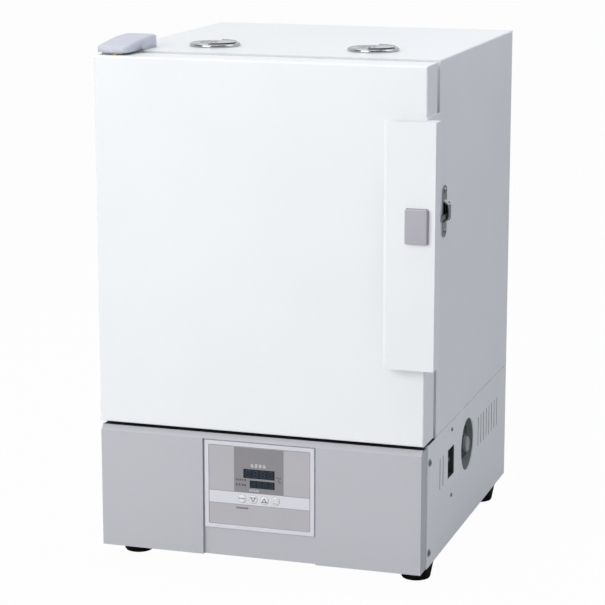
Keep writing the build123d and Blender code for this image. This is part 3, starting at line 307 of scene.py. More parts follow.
black_plastic = moulded("Black moulded plastic", "0A0B0B", 0.5, specular=0.25)
breaker_plastic = moulded("Dark grey-green plastic", "3D4844", 0.5, specular=0.3)
# Near-black painted shade for the inside of the keeper
pocket_painted_shade = moulded("Painted shade in the keeper", "101211", 0.7, specular=0.1)
lever_plastic = moulded("Dark lever plastic", "2A2F2D", 0.4)
bezel_plastic = moulded("Light grey bezel plastic", "DFDFE4", 0.36, bump=0.08)
button_plastic = moulded("Grey release button plastic", "B5B3B9", 0.42)
cover_plastic = moulded("Blue-grey cover plastic", "CBCED9", 0.42)
knob_plastic = moulded("Grey knob plastic", "9FA19F", 0.4)
foot_rubber = moulded("Black foot rubber", "060707", 0.7, stipple=900.0, bump=0.3, specular=0.15)
gasket_silicone = moulded("Grey-green silicone", "7C8475", 0.6, stipple=1100.0)
board_green = moulded("Green board laminate", "1E5B38", 0.35)
glass_wool = moulded("Glass wool", "D9CDA0", 0.9, stipple=400.0, contrast=0.12, bump=0.8)

FILM = {"stipple": 2400.0, "contrast": 0.015, "bump": 0.05}
overlay_film = moulded("Grey overlay film", "BCBABD", 0.38, **FILM)
smoke_film = moulded("Dark grey overlay film", "8F8D8F", 0.36, **FILM)
strip_film = moulded("White key strip film", "E0E0E4", 0.36, **FILM)
key_film = moulded("White key dome", "EEEEF1", 0.3, **FILM)

INK = {"stipple": 900.0, "bump": 0.0}
display_glass = moulded("Dark display glass", "222A33", 0.22, 300.0, 0.05, bump=0.0, specular=0.2)
segment_tint = moulded("Unlit segment tint", "3A434D", 0.3, specular=0.2, **INK)
dark_print = moulded("Dark grey print", "38383C", 0.5, **INK)
# Grey for the painted shade along the window's joint and for the printed lines at the key strip's edges
joint_shade_and_print = moulded("Grey painted joint shade and edge print", "77767A", 0.6, specular=0.2, **INK)
white_print = moulded("White print", "E9E9EC", 0.5, **INK)
warm_print = moulded("Warm yellow print", "DDD09C", 0.5, **INK)
blue_print = moulded("Blue-violet print", "A6A6C6", 0.5, **INK)

finishes = {
    case_coat: ["rear_panel_lower", "case_shell", "rear_panel_upper"],
    base_coat: ["base_shell"],
    door_coat: ["door_skin", "handle_bracket", "handle_shell"],
    panel_coat: ["base_front_panel"],
    deck_painted_shade: ["base_deck"],
    cup_coat: ["dial_cup"],
    hinge_coat: ["hinge_plate_lower"],
    stainless: ["front_frame", "floor_plate", "door_inner_pan", "exhaust_tubes", "temperature_sensors"],
    stainless_upright: ["chamber_liner", "shelf_rail_left", "shelf_rail_right"],
    polished: ["vent_cap_left", "vent_cap_right", "vent_damper_left", "vent_damper_right"],
    chrome: ["keeper", "keeper_screws"],
    zinc: [
        "hinge_plate_upper",
        "hinge_pins",
        "latch_pawl",
        "pawl_pin",
        "side_panel_screws",
        "bracket_screws",
    ],
    heater_steel: ["heater_element"],
    shelf_steel: ["shelf_lower", "shelf_upper"],
    brass: ["door_bushes"],
    breaker_plastic: ["breaker_body"],
    black_plastic: [
        "button_housing",
        "cable_gland",
        "controller_case",
        "solid_state_relay",
        "thermostat_body",
    ],
    lever_plastic: ["breaker_lever"],
    bezel_plastic: ["control_bezel"],
    button_plastic: ["release_button"],
    cover_plastic: ["hinge_cover"],
    knob_plastic: ["thermostat_knob"],
    foot_rubber: ["rubber_feet"],
    gasket_silicone: ["door_gasket"],
    board_green: ["control_board"],
    glass_wool: ["insulation", "door_insulation"],
    overlay_film: ["control_window"],
    strip_film: ["key_strip"],
    key_film: ["key_mode", "key_down", "key_up", "key_start"],
    display_glass: ["display_upper", "display_lower"],
}
for material, names in finishes.items():
    for name in names:
        mesh = nodes[name].data
        mesh.materials.clear()
        mesh.materials.append(material)


# Making of pieces
def put_in_scene(name, data):
    made = bpy.data.objects.new(name, data)
    bpy.context.scene.collection.objects.link(made)
    return made


def shaped_mesh(name, mesh_maker):
    """A mesh in metres from the form that mesh_maker fills in millimetres."""
    mesh = bpy.data.meshes.new(name)
    form = bmesh.new()
    mesh_maker(form)
    bmesh.ops.scale(form, vec=(MM, MM, MM), verts=form.verts)
    bmesh.ops.recalc_face_normals(form, faces=form.faces)
    form.to_mesh(mesh)
    form.free()
    return mesh


def piece(name, mesh_maker, material, body, smooth=False):
    """A piece of one material that rides on a body."""
    mesh = shaped_mesh(name, mesh_maker)
    made = put_in_scene(name, mesh)
    mesh.materials.append(material)
    if smooth:
        for face in mesh.polygons:
            face.use_smooth = True
    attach(made, body)
    return made


# Facings of a surface: its own across and up, and the way out of it
FRONT = (Vector((1, 0, 0)), Vector((0, 0, 1)), Vector((0, -1, 0)))
RIGHT = (Vector((0, 1, 0)), Vector((0, 0, 1)), Vector((1, 0, 0)))
LEFT = (Vector((0, -1, 0)), Vector((0, 0, 1)), Vector((-1, 0, 0)))
BACK = (Vector((-1, 0, 0)), Vector((0, 0, 1)), Vector((0, 1, 0)))
TOP = (Vector((1, 0, 0)), Vector((0, 1, 0)), Vector((0, 0, 1)))


def laid(form, outline, origin, facing, rise):
    """The outline's points in the facing's own across and up, raised out of the surface."""
    across, up, out = facing
    return [form.verts.new(origin + across * u + up * v + out * rise) for u, v in outline]


def band(form, low, high):
    """Faces between two loops with the same number of points."""
    for i in range(len(low)):
        j = (i + 1) % len(low)
        form.faces.new((low[i], low[j], high[j], high[i]))


def prism(form, outline, origin, facing, thickness, sink=0.0):
    """A flat shape on a surface, sunk into it and standing out of it."""
    low = laid(form, outline, origin, facing, -sink)
    high = laid(form, outline, origin, facing, thickness)
    form.faces.new(high)
    form.faces.new(list(reversed(low)))
    band(form, low, high)


def ring(form, outer, inner, origin, facing, thickness, sink=0.0):
    """A flat frame between two outlines with the same number of corners."""
    outer_low = laid(form, outer, origin, facing, -sink)
    outer_high = laid(form, outer, origin, facing, thickness)
    inner_low = laid(form, inner, origin, facing, -sink)
    inner_high = laid(form, inner, origin, facing, thickness)
    band(form, outer_high, inner_high)
    band(form, inner_low, outer_low)
    band(form, outer_low, outer_high)
    band(form, inner_high, inner_low)


def box_outline(u0, u1, v0, v1):
    return [(u0, v0), (u1, v0), (u1, v1), (u0, v1)]


def circle_outline(radius, count, u=0.0, v=0.0):
    turns = [2 * pi * i / count for i in range(count)]
    return [(u + radius * cos(a), v + radius * sin(a)) for a in turns]


def swung(corners, angle):
    """The corners swung round the middle by an angle."""
    return [(u * cos(angle) - v * sin(angle), u * sin(angle) + v * cos(angle)) for u, v in corners]


def turned(form, profile, origin, facing, count):
    """A body turned about the facing's outward axis from (radius, rise) points."""
    loops = []
    for radius, rise in profile:
        outline = circle_outline(radius, count) if radius else [(0, 0)]
        loops.append(laid(form, outline, origin, facing, rise))
    for first, second in zip(loops, loops[1:]):
        if len(first) == len(second):
            if len(first) > 1:
                band(form, first, second)
            continue
        for i in range(count):
            j = (i + 1) % count
            if len(first) == 1:
                form.faces.new((first[0], second[i], second[j]))
            else:
                form.faces.new((first[i], first[j], second[0]))


def rounded_box(half_u, half_v, radius, steps=5):
    outline = []
    for side_u, side_v, start in ((1, 1, 0), (-1, 1, 90), (-1, -1, 180), (1, -1, 270)):
        centre_u, centre_v = side_u * (half_u - radius), side_v * (half_v - radius)
        for i in range(steps + 1):
            a = radians(start + 90 * i / steps)
            outline.append((centre_u + radius * cos(a), centre_v + radius * sin(a)))
    return outline


def skin(form, loops):
    """Faces along a row of loops, and over its first and last one."""
    for first, second in zip(loops, loops[1:]):
        band(form, first, second)
    form.faces.new(list(reversed(loops[0])))
    form.faces.new(loops[-1])


def cut_away(made, cutter_maker):
    """Takes the form that cutter_maker fills, in millimetres, out of a piece."""
    cutter = put_in_scene("cutter", shaped_mesh("cutter", cutter_maker))
    difference = made.modifiers.new("recess", "BOOLEAN")
    difference.operation = "DIFFERENCE"
    difference.object = cutter
    graph = bpy.context.evaluated_depsgraph_get()
    shape = bpy.data.meshes.new_from_object(made.evaluated_get(graph))
    made.modifiers.clear()
    made.data = shape
    bpy.data.objects.remove(cutter)


# Control panel: the window's face and rear, the height of prints, and edges as left,
# right, low and high
WINDOW_FACE, WINDOW_REAR, BEZEL_REAR = -0.6, 1.2, 1.5
PRINT = 0.05
BEZEL = (-67.55, 68.95, 34.0, 142.0)
WINDOW = (-62.35, 63.75, 39.2, 136.8)
SMOKE = (-30.6, 31.0, 81.2, 135.9)
STRIP_LOW, STRIP_HIGH, STRIP_LINE = 65.8, 80.6, 0.45
DISPLAYS = {
    "upper": {"centre": (0.5, 104.3), "size": (39.0, 11.4), "digit": (6.2, 8.6)},
    "lower": {"centre": (4.5, 91.6), "size": (31.0, 9.3), "digit": (4.6, 6.6)},
}
KEY_LEVEL = 73.2
KEYS = {"key_mode": -20.45, "key_down": -6.55, "key_up": 7.35, "key_start": 21.25}


def print_on_window(form, outline, height=2 * PRINT):
    prism(form, outline, spot(0, WINDOW_FACE, 0), FRONT, height)


def display_edges(which):
    (u, v), (w, h) = DISPLAYS[which]["centre"], DISPLAYS[which]["size"]
    return u - w / 2, u + w / 2, v - h / 2, v + h / 2


def framed(edges, inset, corner):
    """A rounded outline inside four edges, in the panel's own across and up."""
    u0, u1, v0, v1 = edges
    middle_u, middle_v = (u0 + u1) / 2, (v0 + v1) / 2
    corners = rounded_box((u1 - u0) / 2 - inset, (v1 - v0) / 2 - inset, corner)
    return [(middle_u + u, middle_v + v) for u, v in corners]


def bezel_frame(form):
    """A light frame with a narrow slope all round its face and its opening."""
    stations = [
        (framed(BEZEL, 0.0, 1.0), 0.0),
        (framed(BEZEL, 0.0, 1.0), 2.0),
        (framed(BEZEL, 0.5, 0.7), 2.5),
        (framed(WINDOW, -0.45, 1.7), 2.5),
        (framed(WINDOW, 0.0, 1.3), 2.1),
        (framed(WINDOW, 0.0, 1.3), 0.0),
    ]
    rear = spot(0, BEZEL_REAR, 0)
    loops = [laid(form, outline, rear, FRONT, rise) for outline, rise in stations]
    for first, second in zip(loops, loops[1:] + loops[:1]):
        band(form, first, second)


bezel = piece("bezel_frame", bezel_frame, bezel_plastic, "case")
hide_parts("control_bezel")


def window_sheet(form):
    rear = spot(0, WINDOW_REAR, 0)
    prism(form, framed(WINDOW, 0.05, 1.2), rear, FRONT, WINDOW_REAR - WINDOW_FACE)


def window_holes(form):
    holes = [box_outline(*display_edges(which)) for which in DISPLAYS]
    holes += [circle_outline(5.2, 40, across, KEY_LEVEL) for across in KEYS.values()]
    for hole in holes:
        prism(form, hole, spot(0, WINDOW_REAR, 0), FRONT, 3.0, 1.0)


window = piece("window_sheet", window_sheet, overlay_film, "case")
cut_away(window, window_holes)
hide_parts("control_window")


def painted_joint_shade(form):
    """Painted shade along the joint between the frame and the sheet."""
    outer, inner = framed(WINDOW, 0.02, 1.28), framed(WINDOW, 0.42, 1.0)
    ring(form, outer, inner, spot(0, WINDOW_FACE, 0), FRONT, PRINT * 0.8)


piece("painted_joint_shade_line", painted_joint_shade, joint_shade_and_print, "case")


def smoke_panel(form):
    """The dark field around both displays, in strips that leave them free."""
    left, right, low, high = SMOKE
    u0, u1, v0, v1 = display_edges("upper")
    a0, a1, b0, b1 = display_edges("lower")
    for edges in (
        (left, right, v1, high),
        (left, u0, v0, v1),
        (u1, right, v0, v1),
        (left, right, b1, v0),
        (left, a0, b0, b1),
        (a1, right, b0, b1),
        (left, right, low, b0),
    ):
        print_on_window(form, box_outline(*edges), PRINT)


piece("smoke_overlay", smoke_panel, smoke_film, "case")

SEGMENTS = {
    "top": ((0, 1), False),
    "middle": ((0, 0), False),
    "bottom": ((0, -1), False),
    "upper_left": ((-1, 0.5), True),
    "upper_right": ((1, 0.5), True),
    "lower_left": ((-1, -0.5), True),
    "lower_right": ((1, -0.5), True),
}


def digits(form, which):
    """Four slanted digits of seven unlit segments, each with its point."""
    (cu, cv), (dw, dh) = DISPLAYS[which]["centre"], DISPLAYS[which]["digit"]
    width = DISPLAYS[which]["size"][0]
    pitch = width / 4.25
    stroke = dh * 0.13
    for place in range(4):
        du = cu + pitch * (place - 1.5)
        for (su, sv), upright in SEGMENTS.values():
            x = su * (dw / 2 - stroke / 2)
            y = sv * (dh / 2 - stroke / 2)
            reach = (dh / 4 if upright else dw / 2) - stroke * 0.62
            tip = stroke / 2
            shape = [(-reach, 0), (-reach + tip, -tip), (reach - tip, -tip)]
            shape += [(reach, 0), (reach - tip, tip), (-reach + tip, tip)]
            if upright:
                shape = [(-b, a) for a, b in shape]
            slanted = [(du + x + a + (y + b) * 0.1, cv + y + b) for a, b in shape]
            print_on_window(form, slanted, PRINT)
        dot_u, dot_v = du + dw / 2 + stroke * 0.6, cv - dh / 2 + stroke * 0.4
        print_on_window(form, circle_outline(stroke * 0.55, 10, dot_u, dot_v), PRINT)


for which in DISPLAYS:
    shape = partial(digits, which=which)
    piece(f"unlit_digits_{which}", shape, segment_tint, "case")


def strip_lines(form):
    left, right = WINDOW[0] + 0.1, WINDOW[1] - 0.1
    for level in (STRIP_LOW - STRIP_LINE, STRIP_HIGH):
        outline = box_outline(left, right, level, level + STRIP_LINE)
        print_on_window(form, outline, PRINT * 1.6)


piece("strip_edge_lines", strip_lines, joint_shade_and_print, "case")


def mark_row(form, left, level, count, pitch, height, width):
    """A row of small plain marks for a caption, each of three short bars and an upright."""
    bar = height / 4.2
    for i in range(count):
        u = left + i * pitch
        for row in (-1, 0, 1):
            v = level + row * (height - bar) / 2
            start = u + width * 0.12 * ((i + row) % 2)
            end = u + width * (1 - 0.14 * ((i + row + 1) % 3))
            print_on_window(form, box_outline(start, end, v - bar / 2, v + bar / 2))
        start, end = u + width * 0.42, u + width * 0.6
        print_on_window(form, box_outline(start, end, level - height / 2, level + height / 2))


def white_marks(form):
    mark_row(form, -9.6, 114.6, 4, 5.0, 3.9, 3.6)
    mark_row(form, -11.8, 84.0, 6, 2.1, 2.2, 1.7)


def dark_marks(form):
    mark_row(form, -28.6, 96.2, 4, 2.5, 1.9, 1.9)
    mark_row(form, -28.4, 90.0, 3, 3.7, 2.6, 2.5)
    for level in (96.2, 90.0):
        print_on_window(form, circle_outline(1.15, 14, -16.9, level))
    mark_row(form, -28.2, 61.4, 8, 1.95, 1.9, 1.7)


piece("white_caption_marks", white_marks, white_print, "case")
piece("dark_caption_marks", dark_marks, dark_print, "case")


def degree_sign(form):
    """The generic sign for degrees Celsius beside the upper display."""
    outer, inner = (circle_outline(radius, 20, 23.0, 102.4) for radius in (1.0, 0.5))
    ring(form, outer, inner, spot(0, WINDOW_FACE, 0), FRONT, PRINT * 2)
    turns = [radians(48 + i * 264 / 18) for i in range(19)]
    outer = [(26.6 + 2.15 * cos(a), 99.2 + 3.2 * sin(a)) for a in turns]
    inner = [(26.6 + 1.45 * cos(a), 99.2 + 2.5 * sin(a)) for a in turns]
    print_on_window(form, outer + inner[::-1])


piece("degree_sign", degree_sign, dark_print, "case")

STRIP_RISE, KEY_RISE = 0.3, 1.2
KEY_FACE = WINDOW_FACE - STRIP_RISE - KEY_RISE


def key_dome(form, across):
    profile = [(0, 0.0), (2.4, -0.04), (3.6, -0.18), (4.4, -0.45), (4.85, -0.85), (5.0, -1.25)]
    profile += [(5.0, -2.6), (0, -2.6)]
    turned(form, profile, spot(across, KEY_FACE, KEY_LEVEL), FRONT, 48)


for key, across in KEYS.items():
    shape = partial(key_dome, across=across)
    dome = piece(f"{key}_dome", shape, key_film, f"{key}_body", smooth=True)
    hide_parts(key)


def triangle(form, key, pointing):
    """An outlined triangle that points up or down."""
    outer = [(-3.5, -2.6 * pointing), (3.5, -2.6 * pointing), (0, 3.3 * pointing)]
    inner = [(-2.0, -1.75 * pointing), (2.0, -1.75 * pointing), (0, 1.7 * pointing)]
    if pointing < 0:
        outer, inner = outer[::-1], inner[::-1]
    ring(form, outer, inner, spot(KEYS[key], KEY_FACE, KEY_LEVEL), FRONT, PRINT, 0.6)


for name, key, pointing in (("down_triangle", "key_down", -1), ("up_triangle", "key_up", 1)):
    shape = partial(triangle, key=key, pointing=pointing)
    piece(name, shape, dark_print, f"{key}_body")


def key_marks(form, key, rows):
    """Rows of small plain bars on a key, each by level, count, width and height."""
    for level, count, width, height in rows:
        pitch = width * 1.6
        for i in range(count):
            u = (i - (count - 1) / 2) * pitch
            outline = box_outline(u - width / 2, u + width / 2, level - height / 2, level + height / 2)
            prism(form, outline, spot(KEYS[key], KEY_FACE, KEY_LEVEL), FRONT, PRINT, 0.25)


shape = partial(key_marks, key="key_mode", rows=[(0.4, 4, 1.1, 1.4)])
piece("mode_key_marks", shape, dark_print, "key_mode_body")
shape = partial(key_marks, key="key_start", rows=[(0, 1, 8.4, 1.2)])
piece("start_key_band", shape, warm_print, "key_start_body")
shape = partial(key_marks, key="key_start", rows=[(2.4, 4, 0.9, 1.1), (-2.4, 4, 0.9, 1.1)])
piece("start_key_marks", shape, blue_print, "key_start_body")


# Screws and other small fasteners
def cross_outline(reach, half_width, turn):
    arm = [(reach, -half_width), (reach, half_width), (half_width, half_width)]
    return [corner for i in range(4) for corner in swung(arm, radians(90 * i) + turn)]


def pan_head_profile(radius, rise):
    rim = rise * 0.25
    arc = [radians(a) for a in (18, 36, 54, 72)]
    dome = [(radius * (0.35 + 0.65 * cos(a)), rim + (rise - rim) * sin(a)) for a in arc]
    return [(0, 0.0), (radius, 0.0), (radius, rim)] + dome + [(0, rise)]


def screws(name, places, radius, rise, material, stands_for=None):
    """Pan head screws with a cross recess in the case; places are (centre, facing) pairs."""

    def heads(form):
        for centre, facing in places:
            turned(form, pan_head_profile(radius, rise), centre, facing, 28)

    def recesses(form):
        for number, (centre, facing) in enumerate(places):
            cross = cross_outline(radius * 0.58, radius * 0.15, 0.4 + number * 0.9)
            prism(form, cross, centre, facing, rise * 1.5, -rise * 0.35)

    made = piece(name, heads, material, "case", smooth=True)
    cut_away(made, recesses)
    if stands_for:
        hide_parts(stands_for)


side_places = []
for across, facing in ((HALF_WIDTH, RIGHT), (-HALF_WIDTH, LEFT)):
    for level in (128.0, 18.0):
        side_places.append((spot(across, 29.6, level), facing))
screws("side_panel_screw_heads", side_places, 4.4, 2.0, zinc, "side_panel_screws")
bracket_places = [(spot(HALF_WIDTH, 137.7, level), RIGHT) for level in (140.0, 57.6)]
screws("breaker_bracket_screw_heads", bracket_places, 2.5, 1.4, zinc, "bracket_screws")
KEEPER_FACE, KEEPER_BACK, KEEPER_LEVEL = HALF_WIDTH + 1.5, 82.0, 416.5
keeper_places = []
for way in (-24.1, 24.1):
    keeper_places.append((spot(KEEPER_FACE, KEEPER_BACK, KEEPER_LEVEL + way), RIGHT))
screws("keeper_screw_heads", keeper_places, 3.6, 1.2, chrome, "keeper_screws")


def keeper_pocket_shade(form):
    """Painted shade inside the keeper: a dark sheet on its floor and on its rear wall behind the strap.
    """
    floor_place = spot(KEEPER_FACE, KEEPER_BACK, KEEPER_LEVEL)
    prism(form, box_outline(-5.8, 2.4, -11.5, 11.5), floor_place, RIGHT, 0.25)
    wall_place = spot(KEEPER_FACE + 2.6, KEEPER_BACK + 3.6, KEEPER_LEVEL)
    prism(form, box_outline(-2.5, 2.3, -11.0, 11.0), wall_place, FRONT, 0.3)


piece("keeper_pocket_shade", keeper_pocket_shade, pocket_painted_shade, "case")

rear_corners = [(across, level) for across in (-190, 0, 190) for level in (162, 582, 10, 138)]
rear_corners += [(-190, 372), (190, 372)]
rear_places = [(spot(across, CASE_DEPTH, level), BACK) for across, level in rear_corners]
screws("rear_panel_screws", rear_places, 3.4, 1.6, zinc)


def rivets(form):
    """Four low rivets beside the thermostat's recess."""
    profile = [(0, 0.0), (1.9, 0.0), (1.7, 0.28), (1.1, 0.5), (0, 0.58)]
    for back in (177, 267):
        for level in (71, 126):
            turned(form, profile, spot(HALF_WIDTH, back, level), RIGHT, 20)


piece("dial_recess_rivets", rivets, case_coat, "case", smooth=True)


def seam_fold(form):
    """The base's folded top edge, on which the oven's shell stands."""
    outer = box_outline(-199.9, 199.9, OVEN_FRONT + 0.3, 438.4)
    inner = box_outline(-199.0, 199.0, OVEN_FRONT + 1.2, 437.5)
    ring(form, outer, inner, spot(0, 0, DECK_LEVEL - 0.28), TOP, 0.26)


piece("seam_fold", seam_fold, case_coat, "case")

# Round recess of the thermostat
DIAL_BACK, DIAL_LEVEL, DIAL_RADIUS = 222.0, 99.0, 33.5
BLOCK_REAR, BLOCK_FACE = 172.49, 195.0


def recess_lip(form):
    outside, inside = DIAL_RADIUS - 0.05, DIAL_RADIUS - 0.75
    profile = [(outside, -0.1), (outside, -1.5), (inside, -1.5), (inside, -0.45)]
    profile += [(DIAL_RADIUS - 0.4, -0.1), (outside, -0.1)]
    turned(form, profile, spot(HALF_WIDTH, DIAL_BACK, DIAL_LEVEL), RIGHT, 96)


piece("dial_recess_lip", recess_lip, case_coat, "case")


def thermostat_block(form):
    """The thermostat's black body with a rounded edge round its face."""
    levels = [(BLOCK_REAR, 0.0), (193.6, 0.0), (194.5, 0.4), (BLOCK_FACE, 1.2)]
    centre = spot(0, DIAL_BACK, DIAL_LEVEL)
    loops = []
    for across, inset in levels:
        corners = rounded_box(17.0 - inset, 19.0 - inset, 1.6)
        loops.append(laid(form, corners, centre, RIGHT, across))
    skin(form, loops)


block = piece("thermostat_block", thermostat_block, black_plastic, "case")
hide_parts("thermostat_body")


def dial_scale(form):
    """Plain strokes round the knob, every fourth one longer and wider."""
    centre = spot(BLOCK_FACE, DIAL_BACK, DIAL_LEVEL)
    for i in range(25):
        reach, half = (13.6, 0.22) if i % 4 == 0 else (12.6, 0.14)
        stroke = swung(box_outline(11.4, reach, -half, half), radians(-60 + i * 300 / 24))
        prism(form, stroke, centre, RIGHT, PRINT)


piece("dial_scale", dial_scale, white_print, "case")


def knob(form):
    """A round knob on its shaft, with flutes that fade out at both ends."""
    flutes = 24
    turns = [2 * pi * i / (flutes * 6) for i in range(flutes * 6)]
    levels = [(186.0, 3.0, 0), (195.3, 3.0, 0), (195.35, 9.6, 0.2), (195.7, 9.9, 0.35)]
    levels += [(199.4, 9.9, 0.35), (200.1, 9.5, 0.25), (200.5, 8.9, 0.0)]
    centre = spot(0, DIAL_BACK, DIAL_LEVEL)
    loops = []
    for across, radius, depth in levels:
        reach = [radius - depth * (0.5 - 0.5 * cos(flutes * a)) for a in turns]
        outline = [(r * cos(a), r * sin(a)) for r, a in zip(reach, turns)]
        loops.append(laid(form, outline, centre, RIGHT, across))
    skin(form, loops)


def knob_slot(form):
    prism(form, box_outline(-0.8, 0.8, 1.0, 12.0), spot(199.0, DIAL_BACK, DIAL_LEVEL), RIGHT, 6.0)


turning_knob = piece("fluted_knob", knob, knob_plastic, "thermostat_knob_body")
cut_away(turning_knob, knob_slot)
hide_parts("thermostat_knob")

# Circuit breaker marks
BREAKER_FACE, BREAKER_BACK = 191.0, 144.5


def breaker_on(form):
    place = spot(BREAKER_FACE, BREAKER_BACK, 105.5)
    prism(form, box_outline(-0.35, 0.35, -1.8, 1.8), place, RIGHT, PRINT)


def breaker_off(form):
    place = spot(BREAKER_FACE, BREAKER_BACK, 94.5)
    ring(form, circle_outline(1.7, 24), circle_outline(1.1, 24), place, RIGHT, PRINT)


piece("breaker_on_mark", breaker_on, white_print, "case")
piece("breaker_off_mark", breaker_off, white_print, "case")

# Exhaust caps on the top
CAP_RADIUS, CAP_TOP, CAP_BACK = 30.75, 3.9, 136.0
CAP_ACROSS = {"left": -99.0, "right": 99.0}
OPENING_RADIUS, OPENING_WEB, OPENING_HALF_ANGLE = 18.0, 4.0, 77


def exhaust_cap(form, across):
    """A low drum with a rolled rim and a groove inside it."""
    rim = [(2.2, 0.0), (0.35, 0.0), (0.05, 0.5), (0, 1.4), (0, 2.2), (0.3, 3.1), (0.9, 3.75)]
    rim += [(1.7, 4.0), (2.4, 3.85), (2.9, 3.4), (3.2, 3.35), (3.4, 3.7), (3.9, CAP_TOP)]
    profile = [(CAP_RADIUS - inset, rise) for inset, rise in rim]
    profile += [(0, CAP_TOP), (0, 2.5), (CAP_RADIUS - 2.4, 2.5), (CAP_RADIUS - 2.2, 0.0)]
    turned(form, profile, spot(across, CAP_BACK, TOP_LEVEL), TOP, 96)


def exhaust_opening(form, across):
    """The half-round opening in the right half of a cap's top."""
    turns = [radians(OPENING_HALF_ANGLE * (i / 12 - 1)) for i in range(25)]
    outline = [(max(OPENING_RADIUS * cos(a), OPENING_WEB), OPENING_RADIUS * sin(a)) for a in turns]
    prism(form, outline, spot(across, CAP_BACK, TOP_LEVEL), TOP, 8.0, -1.0)


def half_disc(form, across):
    """The half-round shutter with a pressed-up edge, and its rivet."""
    centre = spot(across, CAP_BACK, TOP_LEVEL)
    profile = [(0.01, 4.3), (24.0, 4.3), (25.2, 4.45), (26.4, 4.9), (27.0, 5.45)]
    profile += [(26.6, 5.6), (25.9, 5.3), (24.6, 5.0), (23.6, 5.0), (0.01, 5.0)]
    count = 40
    turns = [radians(-90 + 180 * i / count) for i in range(count + 1)]
    loops = []
    for radius, rise in profile:
        outline = [(radius * cos(a), radius * sin(a)) for a in turns]
        loops.append(laid(form, outline, centre, TOP, rise))
    for first, second in zip(loops, loops[1:]):
        for i in range(count):
            form.faces.new((first[i], first[i + 1], second[i + 1], second[i]))
    for end in (0, count):
        form.faces.new([loop[end] for loop in loops])
    rivet = [(0, 3.0), (6.0, 4.3), (6.0, 5.1), (3.6, 5.1), (3.4, 5.4), (2.4, 5.9), (0, 6.1)]
    turned(form, rivet, centre, TOP, 32)


def cap_marks(form, across):
    """Two rows of plain marks on a cap, where its settings are printed."""
    for count, left, low in ((5, -19, 4.0), (4, -17, -7.4)):
        for i in range(count):
            u = left + i * 2.6
            mark = box_outline(u, u + 1.6, low, low + 2.6)
            prism(form, mark, spot(across, CAP_BACK, TOP_LEVEL + CAP_TOP), TOP, PRINT)


for side, across in CAP_ACROSS.items():
    shape = partial(exhaust_cap, across=across)
    cap = piece(f"exhaust_cap_{side}", shape, polished, "case", smooth=True)
    cut_away(cap, partial(exhaust_opening, across=across))
    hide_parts(f"vent_cap_{side}")

for side, across in CAP_ACROSS.items():
    shape, body = partial(half_disc, across=across), f"vent_damper_{side}_body"
    shutter = piece(f"half_round_shutter_{side}", shape, polished, body)
    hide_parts(f"vent_damper_{side}")

for side, across in CAP_ACROSS.items():
    shape = partial(cap_marks, across=across)
    piece(f"exhaust_cap_marks_{side}", shape, dark_print, "case")

# Cover over the upper hinge
COVER_LEFT, COVER_RIGHT, COVER_FRONT, COVER_BACK = -202.0, -161.5, 10.5, 110.0
COVER_CORNER, COVER_ROUND = 9.0, 1.8
COVER_LOW, COVER_HIGH, COVER_SLOPE, COVER_BLEND = 8.6, 15.0, 0.108, 2.2
COVER_OVER_DOOR, COVER_OVER_CASE, COVER_WALL = 1.4, 0.3, 1.8


def cover_height(back):
    """Height above the case: low at the front, a straight rise, then level to the rear."""
    rising = COVER_LOW + COVER_SLOPE * (back - COVER_FRONT)
    near = max(COVER_BLEND - abs(rising - COVER_HIGH), 0.0) / COVER_BLEND
    return min(rising, COVER_HIGH) - near * near * COVER_BLEND / 4


def station(i, count):
    """Stations from -1 to 1, closer together near both ends."""
    t = 2 * i / count - 1
    return 0.72 * t + 0.28 * t**3 if abs(t) < 1 else t


def within_corners(u, v, half_u, half_v):
    """A point of a rectangle pulled inside its rounded corners, and its way to the edge."""
    over_u, over_v = abs(u) - (half_u - COVER_CORNER), abs(v) - (half_v - COVER_CORNER)
    if over_u <= 0 or over_v <= 0:
        return u, v, min(half_u - abs(u), half_v - abs(v))
    square = max(over_u, over_v)
    scale = square / (over_u**2 + over_v**2) ** 0.5
    u = (half_u - COVER_CORNER + over_u * scale) * (1 if u > 0 else -1)
    v = (half_v - COVER_CORNER + over_v * scale) * (1 if v > 0 else -1)
    return u, v, COVER_CORNER - square


def hinge_cap(form):
    """A shell with rounded corners and edges, whose wall keeps clear of the door's top."""
    across_count, back_count = 22, 48
    half_u, half_v = (COVER_RIGHT - COVER_LEFT) / 2, (COVER_BACK - COVER_FRONT) / 2
    middle_u, middle_v = (COVER_RIGHT + COVER_LEFT) / 2, (COVER_BACK + COVER_FRONT) / 2
    grid = []
    for j in range(back_count + 1):
        row = []
        for i in range(across_count + 1):
            u, v = half_u * station(i, across_count), half_v * station(j, back_count)
            u, v, inside = within_corners(u, v, half_u, half_v)
            lean = max(COVER_ROUND - inside, 0.0)
            fall = COVER_ROUND - (COVER_ROUND**2 - lean**2) ** 0.5
            up = TOP_LEVEL + cover_height(middle_v + v) - fall
            row.append(form.verts.new(spot(middle_u + u, middle_v + v, up)))
        grid.append(row)
    for near, far in zip(grid, grid[1:]):
        for i in range(across_count):
            form.faces.new((near[i], near[i + 1], far[i + 1], far[i]))
    edge = grid[0] + [row[-1] for row in grid[1:]] + grid[-1][-2::-1]
    edge += [row[0] for row in grid[-2:0:-1]]
    centre = spot(middle_u, middle_v, TOP_LEVEL)
    foot, hem = [], []
    for x, y, _ in [vert.co for vert in edge]:
        gap = COVER_OVER_CASE if y - DOOR_Y > OVEN_FRONT + 6 else COVER_OVER_DOOR
        inward_x = COVER_WALL if x < centre.x else -COVER_WALL
        inward_y = COVER_WALL if y < centre.y else -COVER_WALL
        foot.append(form.verts.new((x, y, centre.z + gap)))
        hem.append(form.verts.new((x + inward_x, y + inward_y, centre.z + gap)))
    band(form, edge, foot)
    band(form, foot, hem)


cover = piece("hinge_cap", hinge_cap, cover_plastic, "case", smooth=True)
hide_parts("hinge_cover")


